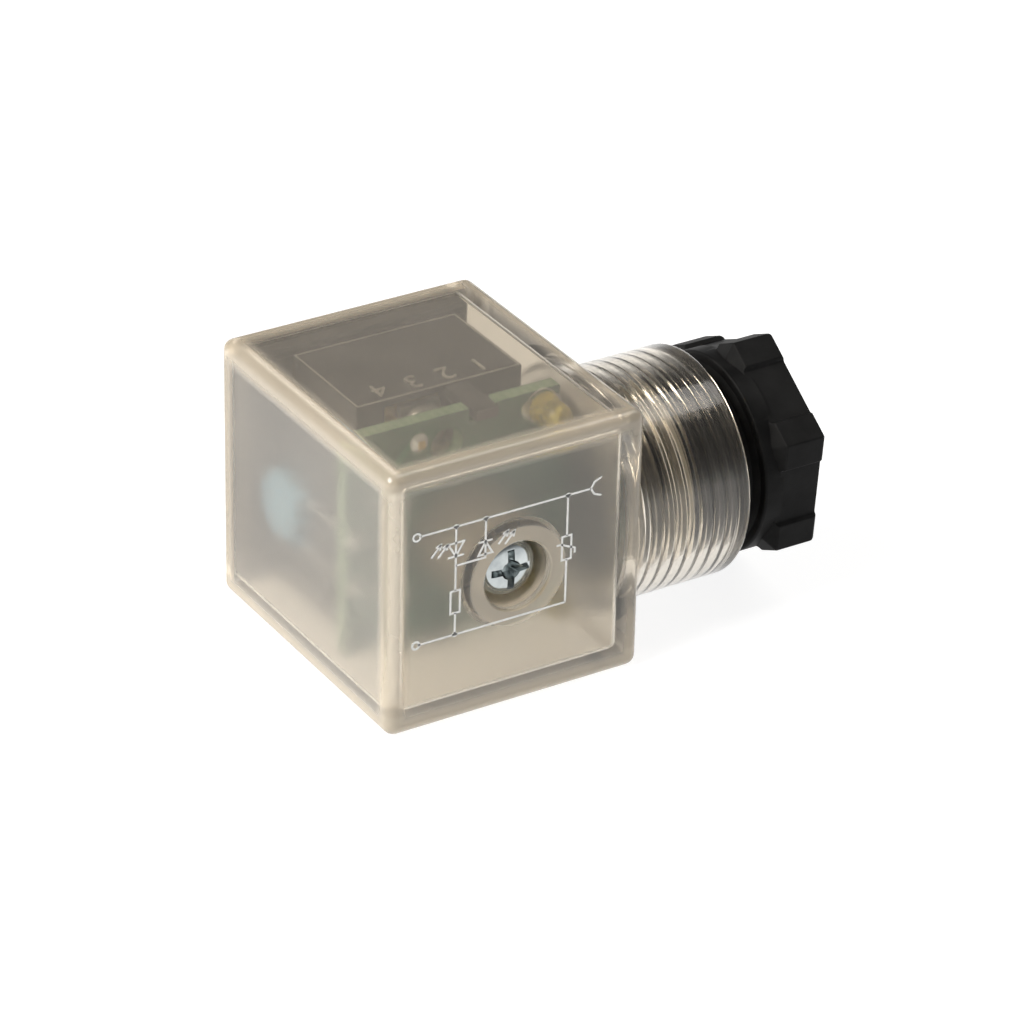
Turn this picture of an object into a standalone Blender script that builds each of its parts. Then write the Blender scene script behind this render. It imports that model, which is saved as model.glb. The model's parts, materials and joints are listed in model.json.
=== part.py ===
"""Cable connector, form A, for a solenoid valve's coil, with indicator LEDs and a varistor.

It lies on one flat side. +X runs along the cable gland, -Y is the screw face, +Y is the
contact face that plugs onto the coil, and +Z is up. The origin is on the bottom side,
under the fixing screw's axis, halfway between the screw face and the contact rim.
Metres throughout. Plain cylinders stand for threads, with a running clearance.
"""

import math

import bmesh
import bpy
from mathutils import Matrix, Vector

MM = 0.001

# Housing
WIDTH = 27.5 * MM  # along X and Z
DEPTH = 32.2 * MM  # screw face to contact rim
WALL = 1.9 * MM
EDGE_RADIUS = 1.15 * MM
CAVITY_EDGE = 0.8 * MM
AXIS_Z = WIDTH / 2  # height of the screw's axis and of the gland's
SCREW_FACE = -DEPTH / 2
RIM_FACE = DEPTH / 2
HALF = WIDTH / 2
CAVITY_HALF = HALF - WALL
RIM_SEAT_HALF = 12.4 * MM
RIM_SEAT_DEPTH = 1.7 * MM
GAP = 0.3 * MM  # between pieces that touch
PASS = 1.0 * MM  # how far a cutter runs past what it cuts

# Cable barrel and gland, along X
GLAND_Y = SCREW_FACE + 11.4 * MM
BARREL_R = 11.46 * MM
BARREL_END = HALF + 12.4 * MM
BARREL_ROUND = 0.7 * MM
BORE_R = 9.05 * MM
SEAL_SEAT = 12.5 * MM
THROAT_R = 7.4 * MM
SEAL_R = 8.8 * MM
SEAL_BORE_R = 3.7 * MM
SEAL_LENGTH = 4.95 * MM
WASHER_R = 8.6 * MM
WASHER_BORE_R = 4.8 * MM
WASHER_LENGTH = 0.8 * MM
SHANK_R = 8.95 * MM
SHANK_ENGAGED = 5.2 * MM
NUT_BORE_R = 5.6 * MM
NUT_MOUTH = 1.4 * MM
COLLAR_R = 10.1 * MM
COLLAR_START = BARREL_END + 2.3 * MM
HEX_START = COLLAR_START + 1.05 * MM
HEX_END = HALF + 21.0 * MM
HEX_CORNER_R = 11.85 * MM
HEX_TURN = math.radians(34.5)
LUG_STEP = 0.45 * MM  # how far the middle of each flat lies below the corner lugs
LUG_SHARE = 0.5  # share of each flat that is stepped back

# Fixing screw, along Y
SCREW_HOLE_R = 3.5 * MM
HEAD_SUNK = 1.2 * MM
HEAD_R = 2.95 * MM
HEAD_HEIGHT = 2.0 * MM
HEAD_CROSS = (1.85 * MM, 0.35 * MM, 1.2 * MM)  # arm, half width and depth of the recess
SCREW_LENGTH = 35.0 * MM
SCREW_R = 1.5 * MM
CLEAR_R = 1.75 * MM
COLUMN_R = 5.15 * MM
RING_LENGTH = 0.9 * MM
RING_R = 3.2 * MM

# Contact insert, square about the screw's axis
INSERT_FRONT = SCREW_FACE + 15.9 * MM
FLANGE_FRONT = SCREW_FACE + 28.1 * MM
INSERT_FACE = RIM_FACE - 0.2 * MM
INSERT_HALF = 10.9 * MM
SNAP_HALF = 11.6 * MM
SNAP_START = 12.4 * MM
BODY_LEFT = -8.1 * MM
BODY_RIGHT = 9.8 * MM
BODY_HALF = 11.0 * MM
TOWER_HALF = 5.3 * MM
TONGUE = (1.4 * MM, 3.8 * MM)  # across the board's notch
TONGUE_LOW = 9.8 * MM
TONGUE_TIP = -6.0 * MM

# Contacts: one blade slot each, 9 mm from the screw's axis
BLADE_RADIUS = 9.0 * MM
SLOT = (6.9 * MM, 1.5 * MM)
SLOT_WALL = 1.3 * MM
CLIP_HALF = 3.0 * MM
LEAF = 0.5 * MM
BLADE_GAP = 0.9 * MM
CLIP_FRONT = 5.4 * MM
TAB_FRONT = 0.6 * MM
TAB = 0.9 * MM
TAB_SIDES = (-4.8 * MM, 1.1 * MM)
TAB_LOW = 5.5 * MM
PIN_SIDE = (-4.7 * MM, -4.0 * MM)
PIN_RADIAL = (8.4 * MM, 9.1 * MM)
PIN_TIP = -5.9 * MM
POCKET_FLOOR = 1.8 * MM
CLIP_POCKET = (7.6 * MM, 10.3 * MM)
CLIP_POCKET_HALF = 3.7 * MM
TERMINAL_SIDE = -1.3 * MM
TERMINAL_RADIAL = 7.7 * MM
TERMINAL_HEAD_R = 2.2 * MM
TERMINAL_HEAD = 1.2 * MM
TERMINAL_CROSS = (1.3 * MM, 0.3 * MM, 0.7 * MM)
TERMINAL_TIP = 4.6 * MM
TAB_HOLE_R = 1.6 * MM
PLATE_HALF = 2.15 * MM
PLATE = 0.7 * MM
PLATE_BACK = TAB_FRONT - 0.2 * MM
TERMINALS = {"1": 0, "2": 180, "earth": 90}  # degrees about +Y, from straight up

# Circuit board and what is on it
BOARD_FRONT = SCREW_FACE + 10.9 * MM
BOARD = 1.6 * MM
BOARD_BACK = BOARD_FRONT + BOARD
BOARD_LEFT = -10.6 * MM
BOARD_RIGHT = 11.0 * MM
BOARD_HALF = 10.9 * MM
BOARD_HOLE_R = 5.5 * MM
ACCESS_R = 1.7 * MM
LED_R = 1.5 * MM
LED_RIM_R = 1.6 * MM
LED_RIM = 0.6 * MM
LED_LENGTH = 4.0 * MM
LED_X = 9.0 * MM
LED_OUT = 9.2 * MM
LED_LEADS = 1.27 * MM
LEAD_R = 0.25 * MM
LEAD_HOLE_R = 0.55 * MM
LEAD_TIP = 0.7 * MM
VARISTOR_X = -9.6 * MM
VARISTOR_Y = SCREW_FACE + 24.0 * MM
VARISTOR_DROP = 1.0 * MM
VARISTOR_R = 3.6 * MM
VARISTOR = 2.2 * MM
VARISTOR_LEADS = 2.5 * MM
RESISTOR_X = -6.7 * MM
RESISTOR_Y = -1.8 * MM
RESISTOR_R = 1.1 * MM
RESISTOR_HALF = 3.1 * MM
RESISTOR_LEADS = 4.9 * MM
RESISTOR_LEAD_R = 0.255 * MM

# Gasket round the contact face
GASKET_IN = 11.1 * MM
GASKET_OUT = 12.25 * MM
GASKET_PROUD = 0.4 * MM

ROUND = 48  # sides of a large circle
SMALL_ROUND = 24
LEAD_ROUND = 8

parts = None
cutters = None


def start_scene():
    global parts, cutters
    for obj in list(bpy.data.objects):
        bpy.data.objects.remove(obj, do_unlink=True)
    parts = bpy.data.collections.new("coil_connector")
    cutters = bpy.data.collections.new("cutters")
    for collection in (parts, cutters):
        bpy.context.scene.collection.children.link(collection)


def material(name, colour, roughness, metallic=0.0, alpha=1.0):
    made = bpy.data.materials.get(name) or bpy.data.materials.new(name)
    made.use_nodes = True
    shader = made.node_tree.nodes["Principled BSDF"]
    shader.inputs["Base Color"].default_value = (*colour, 1.0)
    shader.inputs["Roughness"].default_value = roughness
    shader.inputs["Metallic"].default_value = metallic
    shader.inputs["Alpha"].default_value = alpha
    made.diffuse_color = (*colour, alpha)
    return made


def add_object(name, mesh, look):
    """A named part when it has a look, or else a cutter, which is never rendered."""
    obj = bpy.data.objects.new(name, mesh)
    if look:
        parts.objects.link(obj)
        mesh.materials.append(look)
    else:
        cutters.objects.link(obj)
        obj.hide_render = True
        obj.display_type = "WIRE"
    return obj


def box(name, x, y, z, look=None, edge=0.0, edge_steps=2, keep=None):
    """A box between the given (low, high) pairs. keep(edge) says which edges stay sharp."""
    shape = bmesh.new()
    sizes = Vector((x[1] - x[0], y[1] - y[0], z[1] - z[0]))
    middle = Vector((x[0] + x[1], y[0] + y[1], z[0] + z[1])) / 2
    bmesh.ops.create_cube(shape, size=1.0)
    bmesh.ops.transform(
        shape, matrix=Matrix.Translation(middle) @ Matrix.Diagonal((*sizes, 1.0)), verts=shape.verts
    )
    if edge:
        rounded = [e for e in shape.edges if not (keep and keep(e))]
        bmesh.ops.bevel(
            shape, geom=rounded, offset=edge, segments=edge_steps, profile=0.5, affect="EDGES"
        )
    mesh = bpy.data.meshes.new(name)
    shape.to_mesh(mesh)
    shape.free()
    return add_object(name, mesh, look)


def turned(name, profile, axis, centre, look=None, sides=ROUND, ring=False):
    """A turned piece. profile is (radius, place along the axis) from its far end to its near
    end down the outside, and back up the inside when it is a ring. centre is the axis's
    place in the other two directions: (y, z) for axis X and (x, z) for axis Y."""
    mesh = bpy.data.meshes.new(name)
    points = [(radius, 0.0, along) for radius, along in profile]
    edges = [(i, i + 1) for i in range(len(points) - 1)]
    if ring:
        edges.append((len(points) - 1, 0))
    mesh.from_pydata(points, edges, [])
    obj = add_object(name, mesh, look)
    if axis == "X":
        obj.rotation_euler = (0, math.radians(90), 0)
        obj.location = (0, *centre)
    else:
        obj.rotation_euler = (math.radians(-90), 0, 0)
        obj.location = (centre[0], 0, centre[1])
    screw = obj.modifiers.new("turn", "SCREW")
    screw.steps = screw.render_steps = sides
    screw.use_merge_vertices = True
    screw.merge_threshold = 0.00001
    screw.use_smooth_shade = False
    return obj


def rod(name, radius, low, high, axis, centre, look=None, sides=ROUND):
    profile = [(0.0, high), (radius, high), (radius, low), (0.0, low)]
    return turned(name, profile, axis, centre, look, sides)


def arc(centre, radius, start, end, steps):
    """Points of a round in a profile, from angle start to end in degrees."""
    for step in range(steps + 1):
        angle = math.radians(start + (end - start) * step / steps)
        yield centre[0] + radius * math.cos(angle), centre[1] + radius * math.sin(angle)


def change(obj, operation, *others):
    for other in others:
        modifier = obj.modifiers.new(f"{operation.lower()} {other.name}", "BOOLEAN")
        modifier.operation = operation
        modifier.solver = "EXACT"
        modifier.object = other


def cut(obj, *others):
    change(obj, "DIFFERENCE", *others)


def join(obj, *others):
    change(obj, "UNION", *others)


def origin_at(obj, point):
    """Moves the object's origin and leaves its shape where it is."""
    obj.data.transform(Matrix.Translation(-Vector(point)))
    obj.location = point


def turned_about_screw(objects, degrees):
    """Turns pieces that were made straight above the screw's axis about that axis."""
    centre = Vector((0, 0, AXIS_Z))
    turn = (
        Matrix.Translation(centre)
        @ Matrix.Rotation(math.radians(degrees), 4, "Y")
        @ Matrix.Translation(-centre)
    )
    for obj in objects:
        obj.matrix_world = turn @ obj.matrix_basis


def up(low, high):
    """(low, high) heights measured from the screw's axis."""
    return AXIS_Z + low, AXIS_Z + high


def build_housing():
    look = material("housing_plastic", (0.72, 0.67, 0.6), 0.35, alpha=0.45)
    gland = (GLAND_Y, AXIS_Z)
    screw = (0.0, AXIS_Z)

    housing = box(
        "housing",
        (-HALF, HALF),
        (SCREW_FACE, RIM_FACE),
        (0.0, WIDTH),
        look,
        edge=EDGE_RADIUS,
        edge_steps=3,
    )
    rim_centre = (BARREL_R - BARREL_ROUND, BARREL_END - BARREL_ROUND)
    barrel_profile = [
        (0.0, BARREL_END),
        *arc(rim_centre, BARREL_ROUND, 90, 0, 3),
        (BARREL_R, CAVITY_HALF + GAP),
        (0.0, CAVITY_HALF + GAP),
    ]
    join(housing, turned("barrel_blank", barrel_profile, "X", gland))
    cavity = box(
        "cavity",
        (-CAVITY_HALF, CAVITY_HALF),
        (SCREW_FACE + WALL, RIM_FACE + PASS),
        up(-CAVITY_HALF, CAVITY_HALF),
        edge=CAVITY_EDGE,
    )
    rim_seat = box(
        "rim_seat",
        (-RIM_SEAT_HALF, RIM_SEAT_HALF),
        (RIM_FACE - RIM_SEAT_DEPTH, RIM_FACE + PASS),
        up(-RIM_SEAT_HALF, RIM_SEAT_HALF),
    )
    bore_profile = [
        (0.0, BARREL_END + PASS),
        (BORE_R, BARREL_END + PASS),
        (BORE_R, SEAL_SEAT),
        (THROAT_R, SEAL_SEAT),
        (THROAT_R, CAVITY_HALF - PASS),
        (0.0, CAVITY_HALF - PASS),
    ]
    cut(housing, cavity, rim_seat, turned("gland_bore", bore_profile, "X", gland))
    column_end = INSERT_FRONT - GAP
    join(housing, rod("column_blank", COLUMN_R, SCREW_FACE + WALL / 2, column_end, "Y", screw))
    seat_floor = SCREW_FACE + HEAD_SUNK + HEAD_HEIGHT + RING_LENGTH + 2 * GAP
    hole_profile = [
        (0.0, column_end + PASS),
        (CLEAR_R, column_end + PASS),
        (CLEAR_R, seat_floor),
        (SCREW_HOLE_R, seat_floor),
        (SCREW_HOLE_R, SCREW_FACE - PASS),
        (0.0, SCREW_FACE - PASS),
    ]
    cut(housing, turned("screw_hole", hole_profile, "Y", screw))


def build_gland():
    rubber = material("seal_rubber", (0.02, 0.02, 0.02), 0.7)
    plain = material("washer_plastic", (0.55, 0.53, 0.48), 0.5)
    black = material("nut_plastic", (0.012, 0.012, 0.012), 0.42)
    gland = (GLAND_Y, AXIS_Z)
    seal_start = SEAL_SEAT + GAP
    seal_end = seal_start + SEAL_LENGTH
    seal_profile = [
        (SEAL_BORE_R, seal_end),
        (SEAL_R - SEAL_LENGTH / 5, seal_end),
        (SEAL_R, seal_end - SEAL_LENGTH / 5),
        (SEAL_R, seal_start),
        (SEAL_BORE_R, seal_start),
    ]
    turned("gland_seal", seal_profile, "X", gland, rubber, ring=True)
    shank_start = BARREL_END - SHANK_ENGAGED
    washer_end = shank_start - GAP
    washer_start = washer_end - WASHER_LENGTH
    washer_profile = [
        (WASHER_BORE_R, washer_end),
        (WASHER_R, washer_end),
        (WASHER_R, washer_start),
        (WASHER_BORE_R, washer_start),
    ]
    turned("gland_washer", washer_profile, "X", gland, plain, ring=True)
    build_nut(shank_start, gland, black)


def build_nut(shank_start, gland, look):
    """Hexagonal head with a lug at each corner, a collar, and a shank with a cable bore."""
    flat = HEX_CORNER_R * math.cos(math.radians(30))
    chamfer = HEX_CORNER_R - flat
    collar_edge = (HEX_START - COLLAR_START) / 4
    lead_in = SHANK_R - BARREL_ROUND
    nut_profile = [
        (0.0, HEX_START + PASS),
        (COLLAR_R, HEX_START + PASS),
        (COLLAR_R, COLLAR_START + collar_edge),
        (COLLAR_R - collar_edge, COLLAR_START),
        (SHANK_R, COLLAR_START),
        (SHANK_R, shank_start + BARREL_ROUND),
        (lead_in, shank_start),
        (0.0, shank_start),
    ]
    nut = turned("gland_nut", nut_profile, "X", gland, look)
    head_profile = [
        (0.0, HEX_END),
        (HEX_CORNER_R - LUG_STEP / 2, HEX_END),
        (HEX_CORNER_R, HEX_END - LUG_STEP / 2),
        (HEX_CORNER_R, HEX_START + chamfer / 2),
        (HEX_CORNER_R - chamfer, HEX_START),
        (0.0, HEX_START),
    ]
    head = turned("head_blank", head_profile, "X", gland, sides=6)
    # A profile turned in six steps has its corners on the profile's own plane.
    head.rotation_euler.rotate_axis("Z", -math.radians(90) + HEX_TURN)
    join(nut, head)
    step_half = HEX_CORNER_R * LUG_SHARE / 2
    for side in range(6):
        angle = HEX_TURN + math.radians(30 + 60 * side)
        step = box(
            f"flat_step_{side}",
            (HEX_START - PASS, HEX_END + PASS),
            (flat - LUG_STEP, flat + PASS),
            (-step_half, step_half),
        )
        slope = LUG_STEP + PASS
        for vert in step.data.vertices:
            if vert.co.y > flat:
                vert.co.z += math.copysign(slope / 2, vert.co.z)
        step.rotation_euler = (angle, 0, 0)
        step.location = (0, *gland)
        cut(nut, step)
    bore_profile = [
        (0.0, HEX_END + PASS),
        (NUT_BORE_R + NUT_MOUTH + PASS, HEX_END + PASS),
        (NUT_BORE_R, HEX_END - NUT_MOUTH),
        (NUT_BORE_R, shank_start - PASS),
        (0.0, shank_start - PASS),
    ]
    cut(nut, turned("cable_bore", bore_profile, "X", gland))


def cross_recess(name, centre, top, arm, half_width, depth):
    """Two crossed bars that cut a crosshead recess into a head that faces -Y."""
    x, z = centre
    bars = []
    for turn, (half_x, half_z) in enumerate(((arm, half_width), (half_width, arm))):
        bars.append(
            box(
                f"{name}_{turn}",
                (x - half_x, x + half_x),
                (top - PASS, top + depth),
                (z - half_z, z + half_z),
            )
        )
    return bars


def build_fixing_screw():
    steel = material("zinc_plate", (0.75, 0.77, 0.78), 0.22, metallic=1.0)
    rubber = material("ring_rubber", (0.03, 0.03, 0.03), 0.7)
    centre = (0.0, AXIS_Z)
    top = SCREW_FACE + HEAD_SUNK
    under = top + HEAD_HEIGHT
    tip = under + SCREW_LENGTH
    crown = HEAD_HEIGHT / 4
    profile = [
        (0.0, tip),
        (SCREW_R - crown, tip),
        (SCREW_R, tip - crown),
        (SCREW_R, under),
        (HEAD_R, under),
        (HEAD_R, top + crown),
        (HEAD_R - crown, top + crown / 4),
        (HEAD_R / 2, top),
        (0.0, top),
    ]
    screw = turned("fixing_screw", profile, "Y", centre, steel, sides=SMALL_ROUND)
    cut(screw, *cross_recess("fixing_cross", centre, top, *HEAD_CROSS))
    ring_start = under + GAP
    ring_end = ring_start + RING_LENGTH
    ring_profile = [
        (CLEAR_R, ring_end),
        (RING_R, ring_end),
        (RING_R, ring_start),
        (CLEAR_R, ring_start),
    ]
    turned("screw_seal_ring", ring_profile, "Y", centre, rubber, sides=SMALL_ROUND, ring=True)


def build_insert():
    dark = material("insert_plastic", (0.035, 0.035, 0.04), 0.45)
    insert = box(
        "contact_insert",
        (-INSERT_HALF, INSERT_HALF),
        (FLANGE_FRONT, INSERT_FACE),
        up(-INSERT_HALF, INSERT_HALF),
        dark,
    )
    snap = box(
        "snap_rim",
        (-SNAP_HALF, SNAP_HALF),
        (SNAP_START, RIM_FACE - RIM_SEAT_DEPTH),
        up(-SNAP_HALF, SNAP_HALF),
    )
    body = box(
        "insert_body",
        (BODY_LEFT, BODY_RIGHT),
        (INSERT_FRONT, FLANGE_FRONT + PASS),
        up(-BODY_HALF, BODY_HALF),
    )
    tower = box(
        "earth_tower",
        (0.0, INSERT_HALF),
        (INSERT_FRONT, FLANGE_FRONT + PASS),
        up(-TOWER_HALF, TOWER_HALF),
    )
    join(insert, snap, body, tower)
    for angle in (0, 180):
        tongue = box(
            f"tongue_{angle}",
            TONGUE,
            (TONGUE_TIP, INSERT_FRONT + PASS),
            up(TONGUE_LOW, BODY_HALF - GAP / 3),
        )
        turned_about_screw([tongue], angle)
        join(insert, tongue)
    screw = (0.0, AXIS_Z)
    hole = rod(
        "insert_hole", CLEAR_R, INSERT_FRONT - PASS, RIM_FACE + PASS, "Y", screw, sides=SMALL_ROUND
    )
    cut(insert, hole)
    for name, angle in TERMINALS.items():
        pockets = terminal_pockets(name)
        turned_about_screw(pockets, angle)
        cut(insert, *pockets)
    gasket_depth = (RIM_FACE - RIM_SEAT_DEPTH + GAP, RIM_FACE + GASKET_PROUD)
    gasket = box(
        "profile_gasket",
        (-GASKET_OUT, GASKET_OUT),
        gasket_depth,
        up(-GASKET_OUT, GASKET_OUT),
        material("gasket_rubber", (0.03, 0.03, 0.03), 0.75),
    )
    opening = box(
        "gasket_opening",
        (-GASKET_IN, GASKET_IN),
        (gasket_depth[0] - PASS, gasket_depth[1] + PASS),
        up(-GASKET_IN, GASKET_IN),
    )
    cut(gasket, opening)


def terminal_pockets(name):
    """The insert's cutters for one contact: tab seat, clip well, screw relief and blade slot."""
    well_end = INSERT_FACE - SLOT_WALL
    seat = box(
        f"tab_seat_{name}",
        (TAB_SIDES[0] - GAP, TAB_SIDES[1] + GAP),
        (INSERT_FRONT - PASS, POCKET_FLOOR),
        up(TAB_LOW - GAP, CLIP_POCKET[1]),
    )
    well = box(
        f"clip_well_{name}",
        (-CLIP_POCKET_HALF, CLIP_POCKET_HALF),
        (POCKET_FLOOR - GAP, well_end),
        up(*CLIP_POCKET),
    )
    relief = rod(
        f"screw_relief_{name}",
        SCREW_R + GAP,
        POCKET_FLOOR - GAP,
        TERMINAL_TIP + GAP,
        "Y",
        (TERMINAL_SIDE, AXIS_Z + TERMINAL_RADIAL),
        sides=SMALL_ROUND,
    )
    slot = box(
        f"blade_slot_{name}",
        (-SLOT[0] / 2, SLOT[0] / 2),
        (well_end - GAP, INSERT_FACE + PASS),
        up(BLADE_RADIUS - SLOT[1] / 2, BLADE_RADIUS + SLOT[1] / 2),
    )
    return [seat, well, relief, slot]


def build_terminal(name, angle):
    """A brass contact with its clamp plate and screw, made above the axis and then turned."""
    brass = material("contact_brass", (0.7, 0.55, 0.28), 0.3, metallic=1.0)
    plated = material("terminal_plate", (0.68, 0.69, 0.7), 0.35, metallic=1.0)
    leaf_out = BLADE_RADIUS + BLADE_GAP / 2
    leaf_in = BLADE_RADIUS - BLADE_GAP / 2
    clip_end = INSERT_FACE - SLOT_WALL - GAP
    contact = box(
        "earth_contact" if name == "earth" else f"contact_{name}",
        TAB_SIDES,
        (TAB_FRONT, TAB_FRONT + TAB),
        up(TAB_LOW, leaf_out + LEAF),
        brass,
    )
    side = (-CLIP_HALF, CLIP_HALF)
    outer = box(
        f"outer_leaf_{name}",
        (side[0], TAB_SIDES[1]),
        (TAB_FRONT + TAB / 2, clip_end),
        up(leaf_out, leaf_out + LEAF),
    )
    widen = box(f"leaf_side_{name}", side, (CLIP_FRONT, clip_end), up(leaf_out, leaf_out + LEAF))
    bridge = box(
        f"leaf_fold_{name}",
        side,
        (CLIP_FRONT, CLIP_FRONT + LEAF),
        up(leaf_in - LEAF, leaf_out + LEAF / 2),
    )
    inner = box(f"inner_leaf_{name}", side, (CLIP_FRONT, clip_end), up(leaf_in - LEAF, leaf_in))
    made = [contact, outer, widen, bridge, inner]
    join(contact, outer, widen, bridge, inner)
    if name != "earth":
        pin = box(f"solder_pin_{name}", PIN_SIDE, (PIN_TIP, TAB_FRONT + TAB / 2), up(*PIN_RADIAL))
        join(contact, pin)
        made.append(pin)
    place = (TERMINAL_SIDE, AXIS_Z + TERMINAL_RADIAL)
    tab_end = TAB_FRONT + TAB + PASS
    tab_hole = rod(f"tab_hole_{name}", TAB_HOLE_R, -PASS, tab_end, "Y", place, sides=SMALL_ROUND)
    cut(contact, tab_hole)
    plate_front = PLATE_BACK - PLATE
    plate = box(
        f"clamp_plate_{name}",
        (place[0] - PLATE_HALF, place[0] + PLATE_HALF),
        (plate_front, PLATE_BACK),
        (place[1] - PLATE_HALF, place[1] + PLATE_HALF),
        plated,
    )
    plate_hole = rod(
        f"plate_hole_{name}",
        CLEAR_R,
        plate_front - PASS,
        PLATE_BACK + PASS,
        "Y",
        place,
        sides=SMALL_ROUND,
    )
    cut(plate, plate_hole)
    origin_at(plate, (place[0], 0, place[1]))
    head_back = plate_front - GAP
    head_top = head_back - TERMINAL_HEAD
    screw_profile = [
        (0.0, TERMINAL_TIP),
        (SCREW_R, TERMINAL_TIP),
        (SCREW_R, head_back),
        (TERMINAL_HEAD_R, head_back),
        (TERMINAL_HEAD_R, head_top),
        (0.0, head_top),
    ]
    screw = turned(f"terminal_screw_{name}", screw_profile, "Y", place, plated, sides=SMALL_ROUND)
    bars = cross_recess(f"terminal_cross_{name}", place, head_top, *TERMINAL_CROSS)
    cut(screw, *bars)
    turned_about_screw([*made, tab_hole, plate, plate_hole, screw, *bars], angle)


def build_board():
    green = material("board_laminate", (0.06, 0.22, 0.12), 0.4)
    board = box(
        "circuit_board",
        (BOARD_LEFT, BOARD_RIGHT),
        (BOARD_FRONT, BOARD_BACK),
        up(-BOARD_HALF, BOARD_HALF),
        green,
    )
    through = (BOARD_FRONT - PASS, BOARD_BACK + PASS)
    cut(board, rod("column_clearance", BOARD_HOLE_R, *through, "Y", (0.0, AXIS_Z)))
    for name, angle in TERMINALS.items():
        place = (TERMINAL_SIDE, AXIS_Z + TERMINAL_RADIAL)
        holes = [
            rod(f"driver_access_{name}", ACCESS_R, *through, "Y", place, sides=SMALL_ROUND)
        ]
        if name != "earth":
            holes.append(
                box(
                    f"tongue_notch_{name}",
                    (TONGUE[0] - GAP, TONGUE[1] + GAP),
                    through,
                    up(TONGUE_LOW - GAP, BOARD_HALF + PASS),
                )
            )
            holes.append(
                box(
                    f"pin_hole_{name}",
                    (PIN_SIDE[0] - GAP, PIN_SIDE[1] + GAP),
                    through,
                    up(PIN_RADIAL[0] - GAP, PIN_RADIAL[1] + GAP),
                )
            )
        turned_about_screw(holes, angle)
        cut(board, *holes)
    lead_places = [
        *[(LED_X + side * LED_LEADS, height) for height in (LED_OUT, -LED_OUT) for side in (-1, 1)],
        *[(VARISTOR_X, -VARISTOR_DROP + side * VARISTOR_LEADS) for side in (-1, 1)],
        *[(RESISTOR_X, side * RESISTOR_LEADS) for side in (-1, 1)],
    ]
    for index, (x, height) in enumerate(lead_places):
        place = (x, AXIS_Z + height)
        cut(board, rod(f"lead_hole_{index}", LEAD_HOLE_R, *through, "Y", place, sides=LEAD_ROUND))


def build_led(name, height):
    """A 3 mm lamp that stands on the board and faces the screw face."""
    yellow = material("led_resin", (0.85, 0.7, 0.1), 0.25, alpha=0.85)
    base = BOARD_FRONT - GAP
    centre = (LED_X, AXIS_Z + height)
    dome = arc((0.0, base - LED_LENGTH + LED_R), LED_R, 0, -90, 5)
    profile = [
        (0.0, base),
        (LED_RIM_R, base),
        (LED_RIM_R, base - LED_RIM),
        (LED_R, base - LED_RIM),
        *dome,
    ]
    led = turned(name, profile, "Y", centre, yellow, sides=SMALL_ROUND)
    for side in (-1, 1):
        place = (LED_X + side * LED_LEADS, centre[1])
        lead = rod(
            f"{name}_lead_{side}",
            LEAD_R,
            base - LED_RIM / 2,
            BOARD_BACK + LEAD_TIP,
            "Y",
            place,
            sides=LEAD_ROUND,
        )
        join(led, lead)


def build_varistor():
    """A disc that stands against the wall opposite the gland, its leads run to the board."""
    blue = material("varistor_coating", (0.2, 0.42, 0.62), 0.4)
    height = AXIS_Z - VARISTOR_DROP
    left = VARISTOR_X - VARISTOR / 2
    right = VARISTOR_X + VARISTOR / 2
    edge = VARISTOR / 3
    profile = [
        (0.0, right),
        (VARISTOR_R - edge, right),
        (VARISTOR_R, right - edge),
        (VARISTOR_R, left + edge),
        (VARISTOR_R - edge, left),
        (0.0, left),
    ]
    disc = turned("varistor", profile, "X", (VARISTOR_Y, height), blue, sides=SMALL_ROUND)
    for side in (-1, 1):
        place = (VARISTOR_X, height + side * VARISTOR_LEADS)
        lead = rod(
            f"varistor_lead_{side}",
            LEAD_R,
            BOARD_FRONT - LEAD_TIP,
            VARISTOR_Y,
            "Y",
            place,
            sides=LEAD_ROUND,
        )
        join(disc, lead)


def build_resistor():
    """A wire-ended resistor behind the board, its leads bent forward through it."""
    tan = material("resistor_coating", (0.72, 0.6, 0.42), 0.45)
    body = box(
        "resistor",
        (RESISTOR_X - RESISTOR_R, RESISTOR_X + RESISTOR_R),
        (RESISTOR_Y - RESISTOR_R, RESISTOR_Y + RESISTOR_R),
        up(-RESISTOR_HALF, RESISTOR_HALF),
        tan,
        edge=RESISTOR_R / 2,
        keep=lambda edge: abs(edge.verts[0].co.z - edge.verts[1].co.z) < GAP,
    )
    for side in (-1, 1):
        ends = sorted((side * (RESISTOR_HALF - GAP), side * (RESISTOR_LEADS + LEAD_R)))
        run = box(
            f"resistor_run_{side}",
            (RESISTOR_X - LEAD_R, RESISTOR_X + LEAD_R),
            (RESISTOR_Y - LEAD_R, RESISTOR_Y + LEAD_R),
            up(*ends),
        )
        place = (RESISTOR_X, AXIS_Z + side * RESISTOR_LEADS)
        drop = rod(
            f"resistor_drop_{side}",
            RESISTOR_LEAD_R,
            BOARD_FRONT - LEAD_TIP,
            RESISTOR_Y,
            "Y",
            place,
            sides=LEAD_ROUND,
        )
        join(body, run, drop)


def shade_round_parts():
    for obj in parts.objects:
        obj.data.shade_smooth()
        obj.data.set_sharp_from_angle(angle=math.radians(30))


start_scene()
build_housing()
build_gland()
build_fixing_screw()
build_insert()
for terminal, degrees in TERMINALS.items():
    build_terminal(terminal, degrees)
build_board()
build_led("led_1", LED_OUT)
build_led("led_2", -LED_OUT)
build_varistor()
build_resistor()
shade_round_parts()
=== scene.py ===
"""The looks of a form A cable connector for a solenoid valve's coil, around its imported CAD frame.

The housing is a hazy see-through moulding with an internal gland thread, so what lies
inside is finished too: the indicator board, its lamps, the varistor and the insert.
"""

import json
import math

import bmesh
import bpy
from mathutils import Matrix, Vector

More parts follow.
